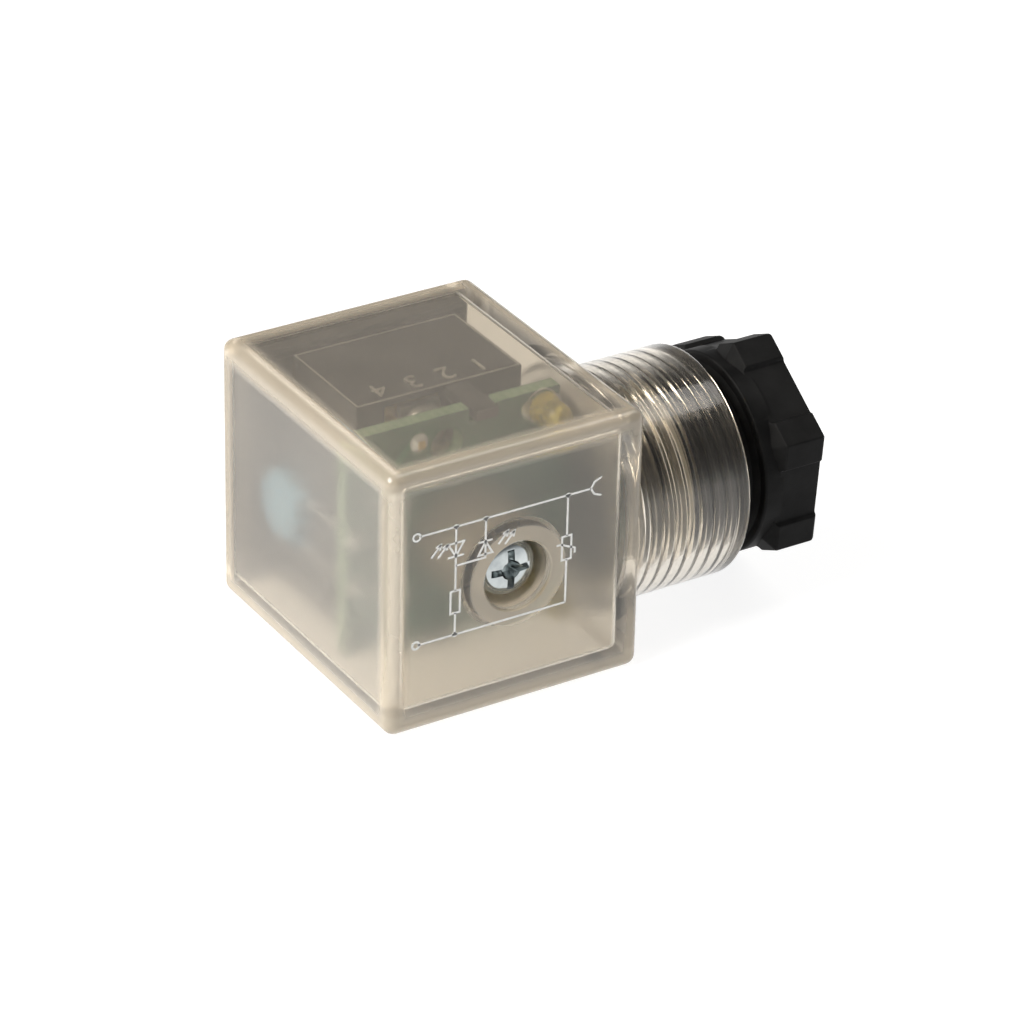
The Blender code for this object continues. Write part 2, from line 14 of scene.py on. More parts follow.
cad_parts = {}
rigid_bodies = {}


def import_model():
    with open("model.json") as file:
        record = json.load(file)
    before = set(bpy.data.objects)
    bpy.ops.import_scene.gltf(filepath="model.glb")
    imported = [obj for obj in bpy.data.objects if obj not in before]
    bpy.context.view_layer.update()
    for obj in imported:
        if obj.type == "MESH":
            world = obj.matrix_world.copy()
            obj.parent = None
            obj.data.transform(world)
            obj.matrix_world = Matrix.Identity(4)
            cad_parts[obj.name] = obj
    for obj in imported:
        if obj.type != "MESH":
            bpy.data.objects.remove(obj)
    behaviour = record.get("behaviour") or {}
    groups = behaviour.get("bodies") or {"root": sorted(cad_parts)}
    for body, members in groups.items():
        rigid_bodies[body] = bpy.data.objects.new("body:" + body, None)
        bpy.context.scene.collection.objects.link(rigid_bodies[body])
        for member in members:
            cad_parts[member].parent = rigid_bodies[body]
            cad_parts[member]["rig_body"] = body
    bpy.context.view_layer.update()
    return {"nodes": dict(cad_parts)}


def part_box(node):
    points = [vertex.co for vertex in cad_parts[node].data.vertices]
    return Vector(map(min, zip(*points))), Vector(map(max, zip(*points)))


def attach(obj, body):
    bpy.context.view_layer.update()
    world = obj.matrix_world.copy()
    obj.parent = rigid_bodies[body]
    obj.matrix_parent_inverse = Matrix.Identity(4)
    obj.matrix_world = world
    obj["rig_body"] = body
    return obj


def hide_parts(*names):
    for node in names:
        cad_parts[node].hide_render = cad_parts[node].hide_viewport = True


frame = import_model()

MM = 0.001
PASS = 1.0 * MM  # how far a cutter runs past what it cuts

# The housing, from the frame
HALF = -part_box("housing")[0].x
BARREL_END, RIM_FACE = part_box("housing")[1].xy
SCREW_FACE = -RIM_FACE
AXIS_Z = HALF
SCREW_AXIS = (0.0, AXIS_Z)  # the fixing screw's (x, z)
WALL = 1.9 * MM
CAVITY_HALF = HALF - WALL
EDGE_RADIUS = 1.15 * MM
RIM_SEAT_HALF = 12.4 * MM
SNAP_END = RIM_FACE - 1.7 * MM
PRINT = 0.03 * MM  # the printed lines stand this proud, so the face lies back by as much

# Gland and its thread, PG 11. GLAND is the gland axis's (y, z)
GLAND = ((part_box("gland_seal")[0].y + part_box("gland_seal")[1].y) / 2, AXIS_Z)
BARREL_R = 11.46 * MM
BARREL_ROUND = 0.8 * MM
GLAND_PITCH = 1.411 * MM
NUT_CREST_R = 9.2 * MM
NUT_ROOT_R = 8.72 * MM
THREAD_PLAY = 0.1 * MM
SEAL_SEAT = 12.5 * MM
THROAT_R = 7.4 * MM
BORE_R = 9.05 * MM
BARREL_THREAD_START = 14.9 * MM
GLAND_SIDES = 96

# Fixing screw, M3
SCREW_PITCH = 0.5 * MM
SCREW_R = 1.5 * MM
SCREW_ROOT_R = 1.22 * MM
COLUMN_R = 5.15 * MM
SCREW_HOLE_R = 3.5 * MM
CLEAR_R = 1.75 * MM

# Contact insert
INSERT_FRONT = SCREW_FACE + 15.9 * MM
FLANGE_FRONT = SCREW_FACE + 28.1 * MM
SNAP_HALF, INSERT_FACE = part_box("contact_insert")[1].xy
INSERT_HALF = SNAP_HALF - 0.7 * MM
SNAP_START = 12.4 * MM
BODY = (-8.1 * MM, 9.8 * MM)
BODY_HALF = 11.0 * MM
TOWER_HALF = 5.3 * MM
TONGUE = (1.4 * MM, 3.8 * MM)
TONGUE_LOW = 9.8 * MM
TONGUE_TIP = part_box("contact_insert")[0].y
BLADE_RADIUS = 9.0 * MM
SLOT = (6.9 * MM, 1.5 * MM)
SLOT_WALL = 1.3 * MM
SLOT_LEAD_IN = 0.45 * MM
POCKET_FLOOR = 1.8 * MM
TAB_SEAT = (-5.1 * MM, 1.4 * MM)
TAB_SEAT_LOW = 5.2 * MM
CLIP_POCKET = (7.6 * MM, 10.3 * MM)
CLIP_POCKET_HALF = 3.7 * MM
TERMINAL = (-1.3 * MM, AXIS_Z + 7.7 * MM)  # a terminal screw's (x, z), before its turn
TERMINAL_TIP = 4.6 * MM
TERMINALS = {"1": 0, "2": 180, "earth": 90}  # degrees about +Y, from straight up
GAP = 0.3 * MM  # left round a piece that goes into or through another

# Circuit board and its parts
BOARD_LOW, BOARD_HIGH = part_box("circuit_board")
FRONT, BACK = BOARD_LOW.y, BOARD_HIGH.y
BOARD_HOLE_R = 5.5 * MM
ACCESS_R = 1.7 * MM
PIN = (-4.35 * MM, 8.75 * MM)
LED_X = 9.0 * MM
LED_OUT = 9.2 * MM
LED_LEADS = 1.27 * MM
LEAD_R = 0.25 * MM
LEAD_TIP = 0.7 * MM
VARISTOR_LEADS = (1.5 * MM, -3.5 * MM)
RESISTOR_LEADS = 4.9 * MM
RESISTOR_HALF = 3.1 * MM


# ---------------------------------------------------------------- shapes


def mm(*points):
    """Points that are given in millimetres, in metres."""
    return [tuple(value * MM for value in point) for point in points]


def about(place, half):
    """(low, high) on both sides of a place."""
    return place - half, place + half


def up(low, high):
    """(low, high) heights measured from the screw's axis."""
    return AXIS_Z + low, AXIS_Z + high


def middle_of(node):
    """The middle of a CAD node's box."""
    low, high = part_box(node)
    return (low + high) / 2


def link(name, data):
    obj = bpy.data.objects.new(name, data)
    bpy.context.scene.collection.objects.link(obj)
    return obj


def from_bmesh(name, shape, outwards=False):
    """An object of a finished shape. outwards turns the faces of closed bodies outwards."""
    if outwards:
        bmesh.ops.recalc_face_normals(shape, faces=shape.faces)
    mesh = bpy.data.meshes.new(name)
    shape.normal_update()
    shape.to_mesh(mesh)
    shape.free()
    return link(name, mesh)


def add_sides(shape, sections):
    """Faces between each section of a sweep and the next."""
    for near, far in zip(sections, sections[1:]):
        for a in range(len(near)):
            b = (a + 1) % len(near)
            shape.faces.new((near[a], near[b], far[b], far[a]))


def lay_along(name, shape, axis, centre):
    """An object of a shape made about +Z, turned to lie along an axis through centre, its place
    in the other two directions: (y, z) for X, (x, z) for Y and (x, y) for Z."""
    index = "XYZ".index(axis)
    rows = [(1, 0, 0), (0, 1, 0), (0, 0, 1)]
    turn = Matrix(rows[2 - index :] + rows[: 2 - index]).to_4x4()
    place = Matrix.Translation(Vector((*centre[:index], 0, *centre[index:])))
    bmesh.ops.transform(shape, matrix=place @ turn, verts=shape.verts)
    return from_bmesh(name, shape, outwards=True)


def turned(name, profile, axis, centre, sides=96, ring=False):
    """A turned piece. profile holds (radius, place along the axis), from the far end down the
    outside to the near end, and back up the inside for a ring. A solid's ends are closed."""
    if not ring:
        profile = [(0.0, profile[0][1]), *profile, (0.0, profile[-1][1])]
    shape = bmesh.new()
    verts = [shape.verts.new((radius, 0.0, along)) for radius, along in profile]
    edges = [shape.edges.new(pair) for pair in zip(verts, verts[1:])]
    if ring:
        edges.append(shape.edges.new((verts[-1], verts[0])))
    bmesh.ops.spin(
        shape, geom=verts + edges, cent=(0, 0, 0), axis=(0, 0, 1), angle=math.tau, steps=sides,
        use_merge=True, use_duplicate=False
    )
    bmesh.ops.remove_doubles(shape, verts=shape.verts, dist=1e-7)
    return lay_along(name, shape, axis, centre)


def rod(name, radius, length, centre, sides=96):
    """A round bar along Y between its (low, high) ends, around (x, z)."""
    return turned(name, [(radius, length[1]), (radius, length[0])], "Y", centre, sides)


def box(name, x, y, z, edge=0.0, steps=3):
    """A box between (low, high) pairs, its edges rounded."""
    shape = bmesh.new()
    bmesh.ops.create_cube(shape, size=1.0)
    size = Matrix.Diagonal((x[1] - x[0], y[1] - y[0], z[1] - z[0], 1.0))
    middle = Vector((x[0] + x[1], y[0] + y[1], z[0] + z[1])) / 2
    bmesh.ops.transform(shape, matrix=Matrix.Translation(middle) @ size, verts=shape.verts)
    if edge:
        rounded = shape.edges[:]
        bmesh.ops.bevel(shape, geom=rounded, offset=edge, segments=steps, profile=0.5, affect="EDGES")
    return from_bmesh(name, shape)


def arc(centre, radius, start, end, steps=5):
    """Points of a round in a profile, from angle start to end in degrees."""
    points = []
    for step in range(steps + 1):
        angle = math.radians(start + (end - start) * step / steps)
        points.append((centre[0] + radius * math.cos(angle), centre[1] + radius * math.sin(angle)))
    return points


# A thread's form: (share of the pitch, share of the depth) from one root to the next.
V_THREAD = ((0.0, 0.0), (0.12, 0.0), (0.5, 1.0), (0.62, 1.0))
CONDUIT_THREAD = ((0.0, 0.0), (0.3, 0.0), (0.38, 0.2), (0.46, 0.8), (0.54, 1.0), (0.84, 1.0), (0.92, 0.5))


def thread_depth(form, share):
    """Share of the full depth at a share of the pitch."""
    share %= 1.0
    points = [*form, (1.0, 0.0)]
    for (a, low), (b, high) in zip(points, points[1:]):
        if a <= share <= b:
            return low + (high - low) * (share - a) / (b - a)
    return 0.0


def threaded(name, thread, start, end, axis, centre, sides, limit=None):
    """A right-hand threaded bar whose rows follow the helix. thread is (form, crest radius,
    root radius, pitch), and limit(along) caps the radius, for a chamfer. Every thread starts
    from the same plane, so a nut and its bore mesh."""
    form, crest, root, pitch = thread
    shape = bmesh.new()
    rows_each = len(form)
    turns = math.ceil((end - start) / pitch) + 2
    first = math.floor(start / pitch) - 1
    rows = turns * rows_each + rows_each + 1

    def point(side, row):
        lead = side / sides
        along = (first + row // rows_each + form[row % rows_each][0] + lead) * pitch
        along = min(max(along, start), end)
        radius = root + (crest - root) * thread_depth(form, along / pitch - lead)
        if limit:
            radius = min(radius, limit(along))
        angle = math.tau * lead
        return radius * math.cos(angle), radius * math.sin(angle), along

    grid = [[shape.verts.new(point(side, row)) for row in range(rows)] for side in range(sides)]
    ends = [shape.verts.new((0, 0, start)), shape.verts.new((0, 0, end))]
    for side in range(sides):
        after = (side + 1) % sides
        shift = rows_each if after == 0 else 0
        for row in range(rows - 1):
            low = min(row + shift, rows - 1)
            high = min(row + 1 + shift, rows - 1)
            corners = [grid[side][row], grid[after][low], grid[after][high], grid[side][row + 1]]
            kept = list(dict.fromkeys(corners))
            if len(kept) > 2:
                shape.faces.new(kept)
        shape.faces.new([ends[0], grid[after][0], grid[side][0]])
        shape.faces.new([ends[1], grid[side][-1], grid[after][-1]])
    # Where the thread is cut off level, its rows fall together.
    bmesh.ops.remove_doubles(shape, verts=shape.verts, dist=0.002 * MM)
    bmesh.ops.dissolve_degenerate(shape, edges=shape.edges, dist=0.001 * MM)
    return lay_along(name, shape, axis, centre)


def taper(obj, level, centre, scale):
    """Scales the part of a box beyond a level in y, about (x, z), by shares in x and z."""
    for vert in obj.data.vertices:
        if vert.co.y > level:
            vert.co.x = centre[0] + (vert.co.x - centre[0]) * scale[0]
            vert.co.z = centre[1] + (vert.co.z - centre[1]) * scale[1]


def strokes(name, paths, width, y):
    """Flat lines of one width that face -Y or +Y, between two depths. Each path is a list of
    (x, height above the screw's axis) points, closed where the first point comes again."""
    shape = bmesh.new()
    for path in paths:
        closed = path[0] == path[-1]
        points = [Vector((x, AXIS_Z + height)) for x, height in (path[:-1] if closed else path)]
        last = len(points) - 1
        ways = [(on - point).normalized() for point, on in zip(points, points[1:] + points[:1])]
        sections = []
        for index, point in enumerate(points):
            near = [ways[index - 1], ways[index]]
            if not closed:
                # A path's end has only one line beside it.
                near = near[1:] if index == 0 else near
                near = near[:1] if index == last else near
            along = sum(near, Vector((0, 0))).normalized()
            across = Vector((-along.y, along.x)) * width / 2 / max(0.5, along.dot(near[0]))
            section = []
            for side, depth in ((-1, y[0]), (1, y[0]), (1, y[1]), (-1, y[1])):
                place = point + across * side
                section.append(shape.verts.new((place.x, depth, place.y)))
            sections.append(section)
        if closed:
            sections.append(sections[0])
        else:
            shape.faces.new(sections[0])
            shape.faces.new(sections[-1][::-1])
        add_sides(shape, sections)
    return from_bmesh(name, shape, outwards=True)


def circle(centre, radius, steps):
    """A closed path for strokes."""
    points = arc(centre, radius, 0, 360, steps)
    return [*points[:-1], points[0]]


def rectangle(x, half, start, end):
    """A closed path for strokes, around x, from one height to another and back."""
    return [(x - half, start), (x + half, start), (x + half, end), (x - half, end), (x - half, start)]


def mesh_of(obj):
    """The mesh that an object's modifiers or its curve give."""
    graph = bpy.context.evaluated_depsgraph_get()
    return bpy.data.meshes.new_from_object(obj.evaluated_get(graph))


def from_curve(name, curve):
    obj = link(name, curve)
    mesh = mesh_of(obj)
    bpy.data.objects.remove(obj)
    return link(name, mesh)


def wire(name, points, radius, bend=0.0):
    """A round wire through points, its corners bent to a radius."""
    path = [Vector(points[0])]
    steps = 6
    for before, corner, after in zip(points, points[1:], points[2:]):
        corner = Vector(corner)
        back = (Vector(before) - corner).normalized()
        on = (Vector(after) - corner).normalized()
        for step in range(steps + 1):
            share = step / steps
            path.append(corner + back * bend * (1 - share) ** 2 + on * bend * share**2)
    path.append(Vector(points[-1]))
    curve = bpy.data.curves.new(name, "CURVE")
    curve.dimensions = "3D"
    curve.bevel_depth = radius
    curve.bevel_resolution = 3
    curve.use_fill_caps = True
    spline = curve.splines.new("POLY")
    spline.points.add(len(path) - 1)
    for point, place in zip(spline.points, path):
        point.co = (*place, 1)
    return from_curve(name, curve)


def figure(name, text, size, matrix, depth):
    """A raised number: text's x and y axes and its face direction are the matrix's columns."""
    curve = bpy.data.curves.new(name, "FONT")
    curve.body = text
    curve.size = size
    curve.align_x = "CENTER"
    curve.align_y = "CENTER"
    curve.extrude = depth / 2
    curve.resolution_u = 6
    obj = from_curve(name, curve)
    obj.data.transform(matrix)
    return obj


def swept_square(name, section, corner):
    """A ring that follows a rounded square about the screw's axis. section holds
    (half width of the square, y) points, and corner is the radius at the smallest half."""
    shape = bmesh.new()
    centre = min(half for half, y in section) - corner
    steps = 8
    rings = []
    for half, y in section:
        ring = []
        for quarter, (right, rise) in enumerate(((1, 1), (-1, 1), (-1, -1), (1, -1))):
            for step in range(steps + 1):
                angle = math.radians(90 * quarter + 90 * step / steps)
                x = right * centre + (half - centre) * math.cos(angle)
                z = rise * centre + (half - centre) * math.sin(angle)
                ring.append(shape.verts.new((x, y, AXIS_Z + z)))
        rings.append(ring)
    add_sides(shape, [*rings, rings[0]])
    return from_bmesh(name, shape, outwards=True)


def change(obj, operation, *others):
    """Adds the others to obj, or cuts them from it, and removes them."""
    for other in others:
        modifier = obj.modifiers.new("boolean", "BOOLEAN")
        modifier.operation = operation
        modifier.solver = "EXACT"
        modifier.object = other
    apply_modifiers(obj)
    for other in others:
        bpy.data.objects.remove(other)
    return obj


def cut(obj, *others):
    return change(obj, "DIFFERENCE", *others)


def join(obj, *others):
    return change(obj, "UNION", *others)


def merge(name, *others):
    """One object of several closed bodies that don't touch."""
    shape = bmesh.new()
    for other in others:
        shape.from_mesh(other.data)
        bpy.data.objects.remove(other)
    return from_bmesh(name, shape)


def apply_modifiers(obj):
    mesh = mesh_of(obj)
    obj.modifiers.clear()
    obj.data = mesh
    return obj


def add_bevel(obj, width, steps, angle):
    bevel = obj.modifiers.new("edges", "BEVEL")
    bevel.width = width
    bevel.segments = steps
    bevel.limit_method = "ANGLE"
    bevel.angle_limit = math.radians(angle)


def soften(obj, width, steps=2, angle=35):
    """Rounds every edge sharper than the angle."""
    add_bevel(obj, width, steps, angle)
    bevel = obj.modifiers["edges"]
    bevel.use_clamp_overlap = True
    bevel.miter_outer = "MITER_ARC"
    return apply_modifiers(obj)


def shade(obj, angle):
    obj.data.shade_smooth()
    obj.data.set_sharp_from_angle(angle=math.radians(angle))


def smooth(obj, angle=32):
    """Smooth shading, except across edges sharper than the angle."""
    shade(obj, angle)
    even = obj.modifiers.new("even normals", "WEIGHTED_NORMAL")
    even.keep_sharp = True
    return obj


def about_screw(obj, degrees):
    """Turns a piece that was made straight above the screw's axis about that axis."""
    centre = Vector((0, 0, AXIS_Z))
    turn = Matrix.Rotation(math.radians(degrees), 4, "Y")
    obj.data.transform(Matrix.Translation(centre) @ turn @ Matrix.Translation(-centre))
    return obj


def wear(obj, look):
    """Gives obj one of the LOOKS, in place of any material it has."""
    obj.data.materials.clear()
    obj.data.materials.append(LOOKS[look])
    return obj


def stand_for(obj, node, look):
    """obj shows in place of a CAD node, rides on its body and takes its finish."""
    wear(obj, look)
    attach(obj, frame["nodes"][node]["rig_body"])
    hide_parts(node)


def goes_with(obj, node, look):
    """obj is a detail that rides with a CAD node's body."""
    wear(obj, look)
    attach(obj, frame["nodes"][node]["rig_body"])


def add_metal(name, node, angle, pieces):
    """Leads or solder, as one piece that rides with a node's body."""
    goes_with(smooth(merge(name, *pieces), angle), node, "tin")


def keep_node(node, look, edge):
    """A CAD node that shows as it is, with a material and slightly rounded edges."""
    obj = wear(frame["nodes"][node], look)
    add_bevel(obj, edge, 2, 35)
    shade(obj, 32)


# ---------------------------------------------------------------- materials


def set_stops(ramp, stops):
    while len(ramp.elements) < len(stops):
        ramp.elements.new(0.5)
    for element, (place, colour) in zip(ramp.elements, stops):
        element.position = place
        element.color = (*colour, 1.0)


def add_node(tree, kind, output, inputs, **settings):
    """A new node's output. inputs gives a value or another node's output for each socket."""
    node = tree.nodes.new("ShaderNode" + kind)
    for name, value in settings.items():
        setattr(node, name, value)
    for socket, value in inputs.items():
        if isinstance(value, bpy.types.NodeSocket):
            tree.links.new(value, node.inputs[socket])
        else:
            node.inputs[socket].default_value = value
    return node.outputs[output]


class Look:
    """A Principled material whose pattern is built from nodes in the piece's own coordinates."""

    def __init__(self, name, colour, roughness, metallic=0.0, **settings):
        self.material = bpy.data.materials.new(name)
        self.material.use_nodes = True
        self.tree = self.material.node_tree
        self.shader = self.tree.nodes["Principled BSDF"]
        self.set("Base Color", (*colour, 1.0))
        self.set("Roughness", roughness)
        self.set("Metallic", metallic)
        for socket, value in settings.items():
            self.set(socket.replace("_", " ").title().replace("Ior", "IOR"), value)
        self.place = self.node("TexCoord", "Object", {})

    def set(self, socket, value):
        self.shader.inputs[socket].default_value = value

    def link(self, output, socket):
        self.tree.links.new(output, self.shader.inputs[socket])

    def node(self, kind, output, inputs, **settings):
        return add_node(self.tree, kind, output, inputs, **settings)

    def math(self, operation, *values, clamp=False):
        return self.node("Math", 0, dict(enumerate(values)), operation=operation, use_clamp=clamp)

    def times(self, a, b):
        return self.math("MULTIPLY", a, b)

    def plus(self, a, b):
        return self.math("ADD", a, b)

    def less(self, a, b):
        return self.math("SUBTRACT", a, b)

    def most(self, a, b, clamp=False):
        return self.math("MAXIMUM", a, b, clamp=clamp)

    def axes(self):
        return self.node("SeparateXYZ", slice(0, 3), {0: self.place})

    def noise(self, size, detail=3.0, roughness=0.5):
        """Noise whose grains are about size across, in metres."""
        inputs = {"Vector": self.place, "Scale": 1 / size, "Detail": detail, "Roughness": roughness}
        return self.node("TexNoise", "Fac", inputs)

    def ramp(self, share, *stops, interpolation="LINEAR"):
        """Colours by share: (place, colour) stops."""
        colour = self.node("ValToRGB", "Color", {0: share})
        set_stops(colour.node.color_ramp, stops)
        colour.node.color_ramp.interpolation = interpolation
        return colour

    def between(self, share, low, high):
        """A number from low to high as share goes from 0 to 1."""
        return self.node("MapRange", "Result", {"Value": share, "To Min": low, "To Max": high})

    def step(self, value, low, high):
        """0 below low, 1 above high, smooth between."""
        inputs = {"Value": value, "From Min": low, "From Max": high}
        return self.node("MapRange", "Result", inputs, interpolation_type="SMOOTHSTEP")

    def bump(self, height, depth, strength=1.0):
        inputs = {"Height": height, "Distance": depth, "Strength": strength}
        self.link(self.node("Bump", "Normal", inputs), "Normal")


def grained(name, dark, light, roughness, grain=0.35 * MM, depth=0.01 * MM, **settings):
    """A moulded or coated surface: colour that varies a little, and a fine surface grain."""
    look = Look(name, light, roughness, **settings)
    look.link(look.ramp(look.noise(grain * 8, 4.0), (0.3, dark), (0.7, light)), "Base Color")
    look.link(look.between(look.noise(grain * 4), roughness - 0.06, roughness + 0.06), "Roughness")
    look.bump(look.noise(grain, 2.0), depth)
    return look.material


def metal(name, dark, light, roughness):
    """A plated or bare metal with small differences in polish."""
    look = Look(name, light, roughness, metallic=1.0)
    marks = look.noise(0.25 * MM, 3.0, 0.6)
    look.link(look.ramp(look.noise(2 * MM, 4.0), (0.3, dark), (0.7, light)), "Base Color")
    look.link(look.between(marks, roughness - 0.07, roughness + 0.09), "Roughness")
    look.bump(marks, 0.004 * MM)
    return look.material


def housing_look():
    """Hazy plastic: clearer in the faces and the barrel, and creamy where the light runs along
    a wall: in the box's edges and in the ring of the screw column."""
    look = Look("housing_plastic", (0.86, 0.82, 0.74), 0.2, IOR=1.54)
    x, y, z = look.axes()
    soft, crisp = 0.65 * MM, 0.2 * MM  # half the width of a blurred border and of a sharp one
    edge_haze, column_haze, level_haze = 0.26, 0.4, 0.05
    inner_roughness, outer_roughness, barrel_roughness = 0.36, 0.14, 0.11
    corner_roughness = 0.25
    heights = look.less(z, AXIS_Z)
    near, skin = [], []
    for place, depth in ((x, CAVITY_HALF), (y, -SCREW_FACE - WALL), (heights, CAVITY_HALF)):
        distance = look.math("ABSOLUTE", place)
        near.append(look.step(distance, depth - soft, depth + soft))
        skin.append(look.step(distance, depth + WALL / 3, depth + 2 * WALL / 3))
    in_box = look.less(1.0, look.step(x, HALF - soft, HALF + soft))

    # Edges: within a wall in two directions at once.
    pairs = [look.times(near[a], near[b]) for a, b in ((0, 1), (1, 2), (0, 2))]
    edges = look.times(look.most(look.most(pairs[0], pairs[1]), pairs[2]), in_box)
    across = look.math("SQRT", look.plus(look.math("POWER", x, 2.0), look.math("POWER", heights, 2.0)))
    outside_hole = look.step(across, SCREW_HOLE_R - crisp, SCREW_HOLE_R + crisp)
    in_column = look.less(1.0, look.step(across, COLUMN_R - crisp, COLUMN_R + crisp))
    ring = look.times(look.times(outside_hole, in_column), in_box)
    cream = look.most(edges, ring, clamp=True)
    level = look.step(look.math("ABSOLUTE", heights), CAVITY_HALF - soft, CAVITY_HALF - 0.05 * MM)

    # The veil is uneven, and thicker in the top and bottom walls. It is also thicker towards the bottom as
    # painted light: the bottom shows creamier and brighter, standing in for the floor's light glowing up
    # through the plastic.
    veil_and_painted_glow = look.between(look.noise(7 * MM, 3.0), 0.015, 0.06)
    # Painted light: more haze low down, fading out 9 mm up, so the bottom looks lit from the floor.
    veil_and_painted_glow = look.plus(veil_and_painted_glow, look.between(look.step(z, 0.0, 9 * MM), 0.1, 0.0))
    veil_and_painted_glow = look.plus(veil_and_painted_glow, look.times(level, level_haze))
    lit = look.most(look.times(edges, edge_haze), look.times(ring, column_haze))
    haze_and_painted_light = look.times(in_box, look.plus(lit, veil_and_painted_glow))
    look.link(look.ramp(cream, (0.0, (0.91, 0.85, 0.75)), (1.0, (0.76, 0.67, 0.53))), "Base Color")
    look.link(look.less(0.99, haze_and_painted_light), "Transmission Weight")

    # The outside is polished. Inside, the top and bottom walls are smoother than the others,
    # and the corners are rougher.
    outside = look.most(look.most(skin[0], skin[1]), skin[2])
    clear = look.times(level, look.less(1.0, edges))
    texture = look.between(outside, inner_roughness, outer_roughness)
    texture = look.times(texture, look.between(clear, 1.0, 0.35))
    corners = look.times(edges, look.less(1.0, outside))
    texture = look.plus(texture, look.times(corners, corner_roughness))
    barrel = look.times(look.less(1.0, in_box), barrel_roughness)
    look.link(look.plus(look.times(in_box, texture), barrel), "Roughness")
    look.bump(look.noise(0.6 * MM, 2.0), 0.006 * MM, 0.4)
    return look.material


def board_look():
    """Green solder mask over a woven glass laminate, whose weave shows faintly. The board's
    edges have no mask."""
    look = Look("board_laminate", (0.05, 0.24, 0.13), 0.35)
    x, y, z = look.axes()
    threads = [look.math("SINE", look.times(place, math.tau / (0.9 * MM))) for place in (x, z)]
    weave = look.times(*threads)
    share = look.math("ADD", look.times(weave, 0.18), look.noise(3 * MM, 3.0), clamp=True)
    mask = look.ramp(share, (0.25, (0.012, 0.07, 0.035)), (0.75, (0.03, 0.13, 0.065)))
    bare = look.ramp(share, (0.25, (0.22, 0.36, 0.22)), (0.75, (0.34, 0.48, 0.33)))
    depth = (BACK - FRONT) / 2
    out = look.math("ABSOLUTE", look.less(y, (FRONT + BACK) / 2))
    masked = look.step(out, depth - 0.1 * MM, depth - 0.04 * MM)
    # A Mix node's colours are its inputs 6 and 7, and its output 2.
    colour = look.node("Mix", 2, {0: masked, 6: bare, 7: mask}, data_type="RGBA")
    look.link(colour, "Base Color")
    look.link(look.between(look.noise(1.2 * MM), 0.28, 0.42), "Roughness")
    look.bump(weave, 0.006 * MM)
    return look.material


def resistor_look():
    """Tan lacquer with four colour bands round the body."""
    look = Look("resistor_coating", (0.72, 0.58, 0.38), 0.35)
    tan = (0.62, 0.47, 0.28)
    banded, band = 6.4 * MM, 0.09
    bands = [(0.0, tan)]
    colours = ((0.25, 0.08, 0.03), (0.02, 0.02, 0.02), (0.55, 0.12, 0.02), (0.5, 0.36, 0.08))
    for start, colour in zip((0.12, 0.3, 0.48, 0.76), colours):
        bands += [(start, colour), (start + band, tan)]
    above = look.less(look.axes()[2], middle_of("resistor").z)
    along = look.plus(look.math("DIVIDE", above, banded), 0.5)
    look.link(look.ramp(along, *bands, interpolation="CONSTANT"), "Base Color")
    look.bump(look.noise(0.5 * MM), 0.01 * MM)
    return look.material


def led_look():
    look = Look("led_resin", (0.95, 0.8, 0.12), 0.08, IOR=1.5, transmission_weight=0.8)
    shades = look.ramp(look.noise(1.5 * MM), (0.3, (0.9, 0.7, 0.05)), (0.7, (1.0, 0.86, 0.2)))
    look.link(shades, "Base Color")
    look.bump(look.noise(0.8 * MM), 0.004 * MM)
    return look.material


RUBBER_GRAIN = (0.2 * MM, 0.02 * MM)
BLACKS = ((0.004, 0.004, 0.004), (0.011, 0.011, 0.011))
BLUES = ((0.1, 0.3, 0.52), (0.2, 0.46, 0.68))
LOOKS = {
    "housing": housing_look(),
    "black": grained("nut_plastic", *BLACKS, 0.5, specular_ior_level=0.07),
    "insert": grained("insert_plastic", (0.018, 0.018, 0.02), (0.045, 0.045, 0.05), 0.42),
    # The raised marks are light grey as a painted highlight. They are really the insert's own black
    # plastic.
    "marks": grained("marks_painted_highlight", (0.36, 0.35, 0.34), (0.46, 0.45, 0.43), 0.35),
    "grommet": grained("grommet_rubber", (0.07, 0.07, 0.068), (0.12, 0.118, 0.112), 0.6, *RUBBER_GRAIN),
    "rubber": grained("seal_rubber", (0.012, 0.012, 0.012), (0.028, 0.027, 0.026), 0.68, *RUBBER_GRAIN),
    "washer": grained("washer_plastic", (0.5, 0.47, 0.4), (0.62, 0.59, 0.52), 0.45),
    "zinc": metal("zinc_plate", (0.36, 0.39, 0.4), (0.6, 0.64, 0.64), 0.13),
    "nickel": metal("terminal_plate", (0.55, 0.55, 0.54), (0.78, 0.78, 0.76), 0.3),
    "brass": metal("contact_brass", (0.55, 0.38, 0.14), (0.8, 0.6, 0.28), 0.28),
    "tin": metal("solder_tin", (0.55, 0.56, 0.57), (0.8, 0.81, 0.82), 0.3),
    "board": board_look(),
    "mask": grained("mask_over_copper", (0.03, 0.16, 0.08), (0.06, 0.24, 0.12), 0.3),
    "varistor": grained("varistor_coating", *BLUES, 0.32, 0.5 * MM, 0.03 * MM),
    "resistor": resistor_look(),
    "print": grained("printed_ink", (0.66, 0.66, 0.64), (0.85, 0.85, 0.83), 0.5, 0.1 * MM, 0.004 * MM),
    "led": led_look(),
}


# ---------------------------------------------------------------- housing and gland


def on_barrel(face):
    """Whether a face belongs to the barrel's round side."""
    away = [math.hypot(vert.co.y - GLAND[0], vert.co.z - GLAND[1]) for vert in face.verts]
    return all(abs(radius - BARREL_R) < 0.02 * MM for radius in away)


def crease_barrel(housing):
    """Marks where the barrel meets the box, which is too shallow in places to count as an edge."""
    shape = bmesh.new()
    shape.from_mesh(housing.data)
    for edge in shape.edges:
        kinds = {on_barrel(face) for face in edge.link_faces}
        if len(kinds) == 2 and edge.verts[0].co.x < HALF + EDGE_RADIUS:
            edge.smooth = False
    shape.to_mesh(housing.data)
    shape.free()


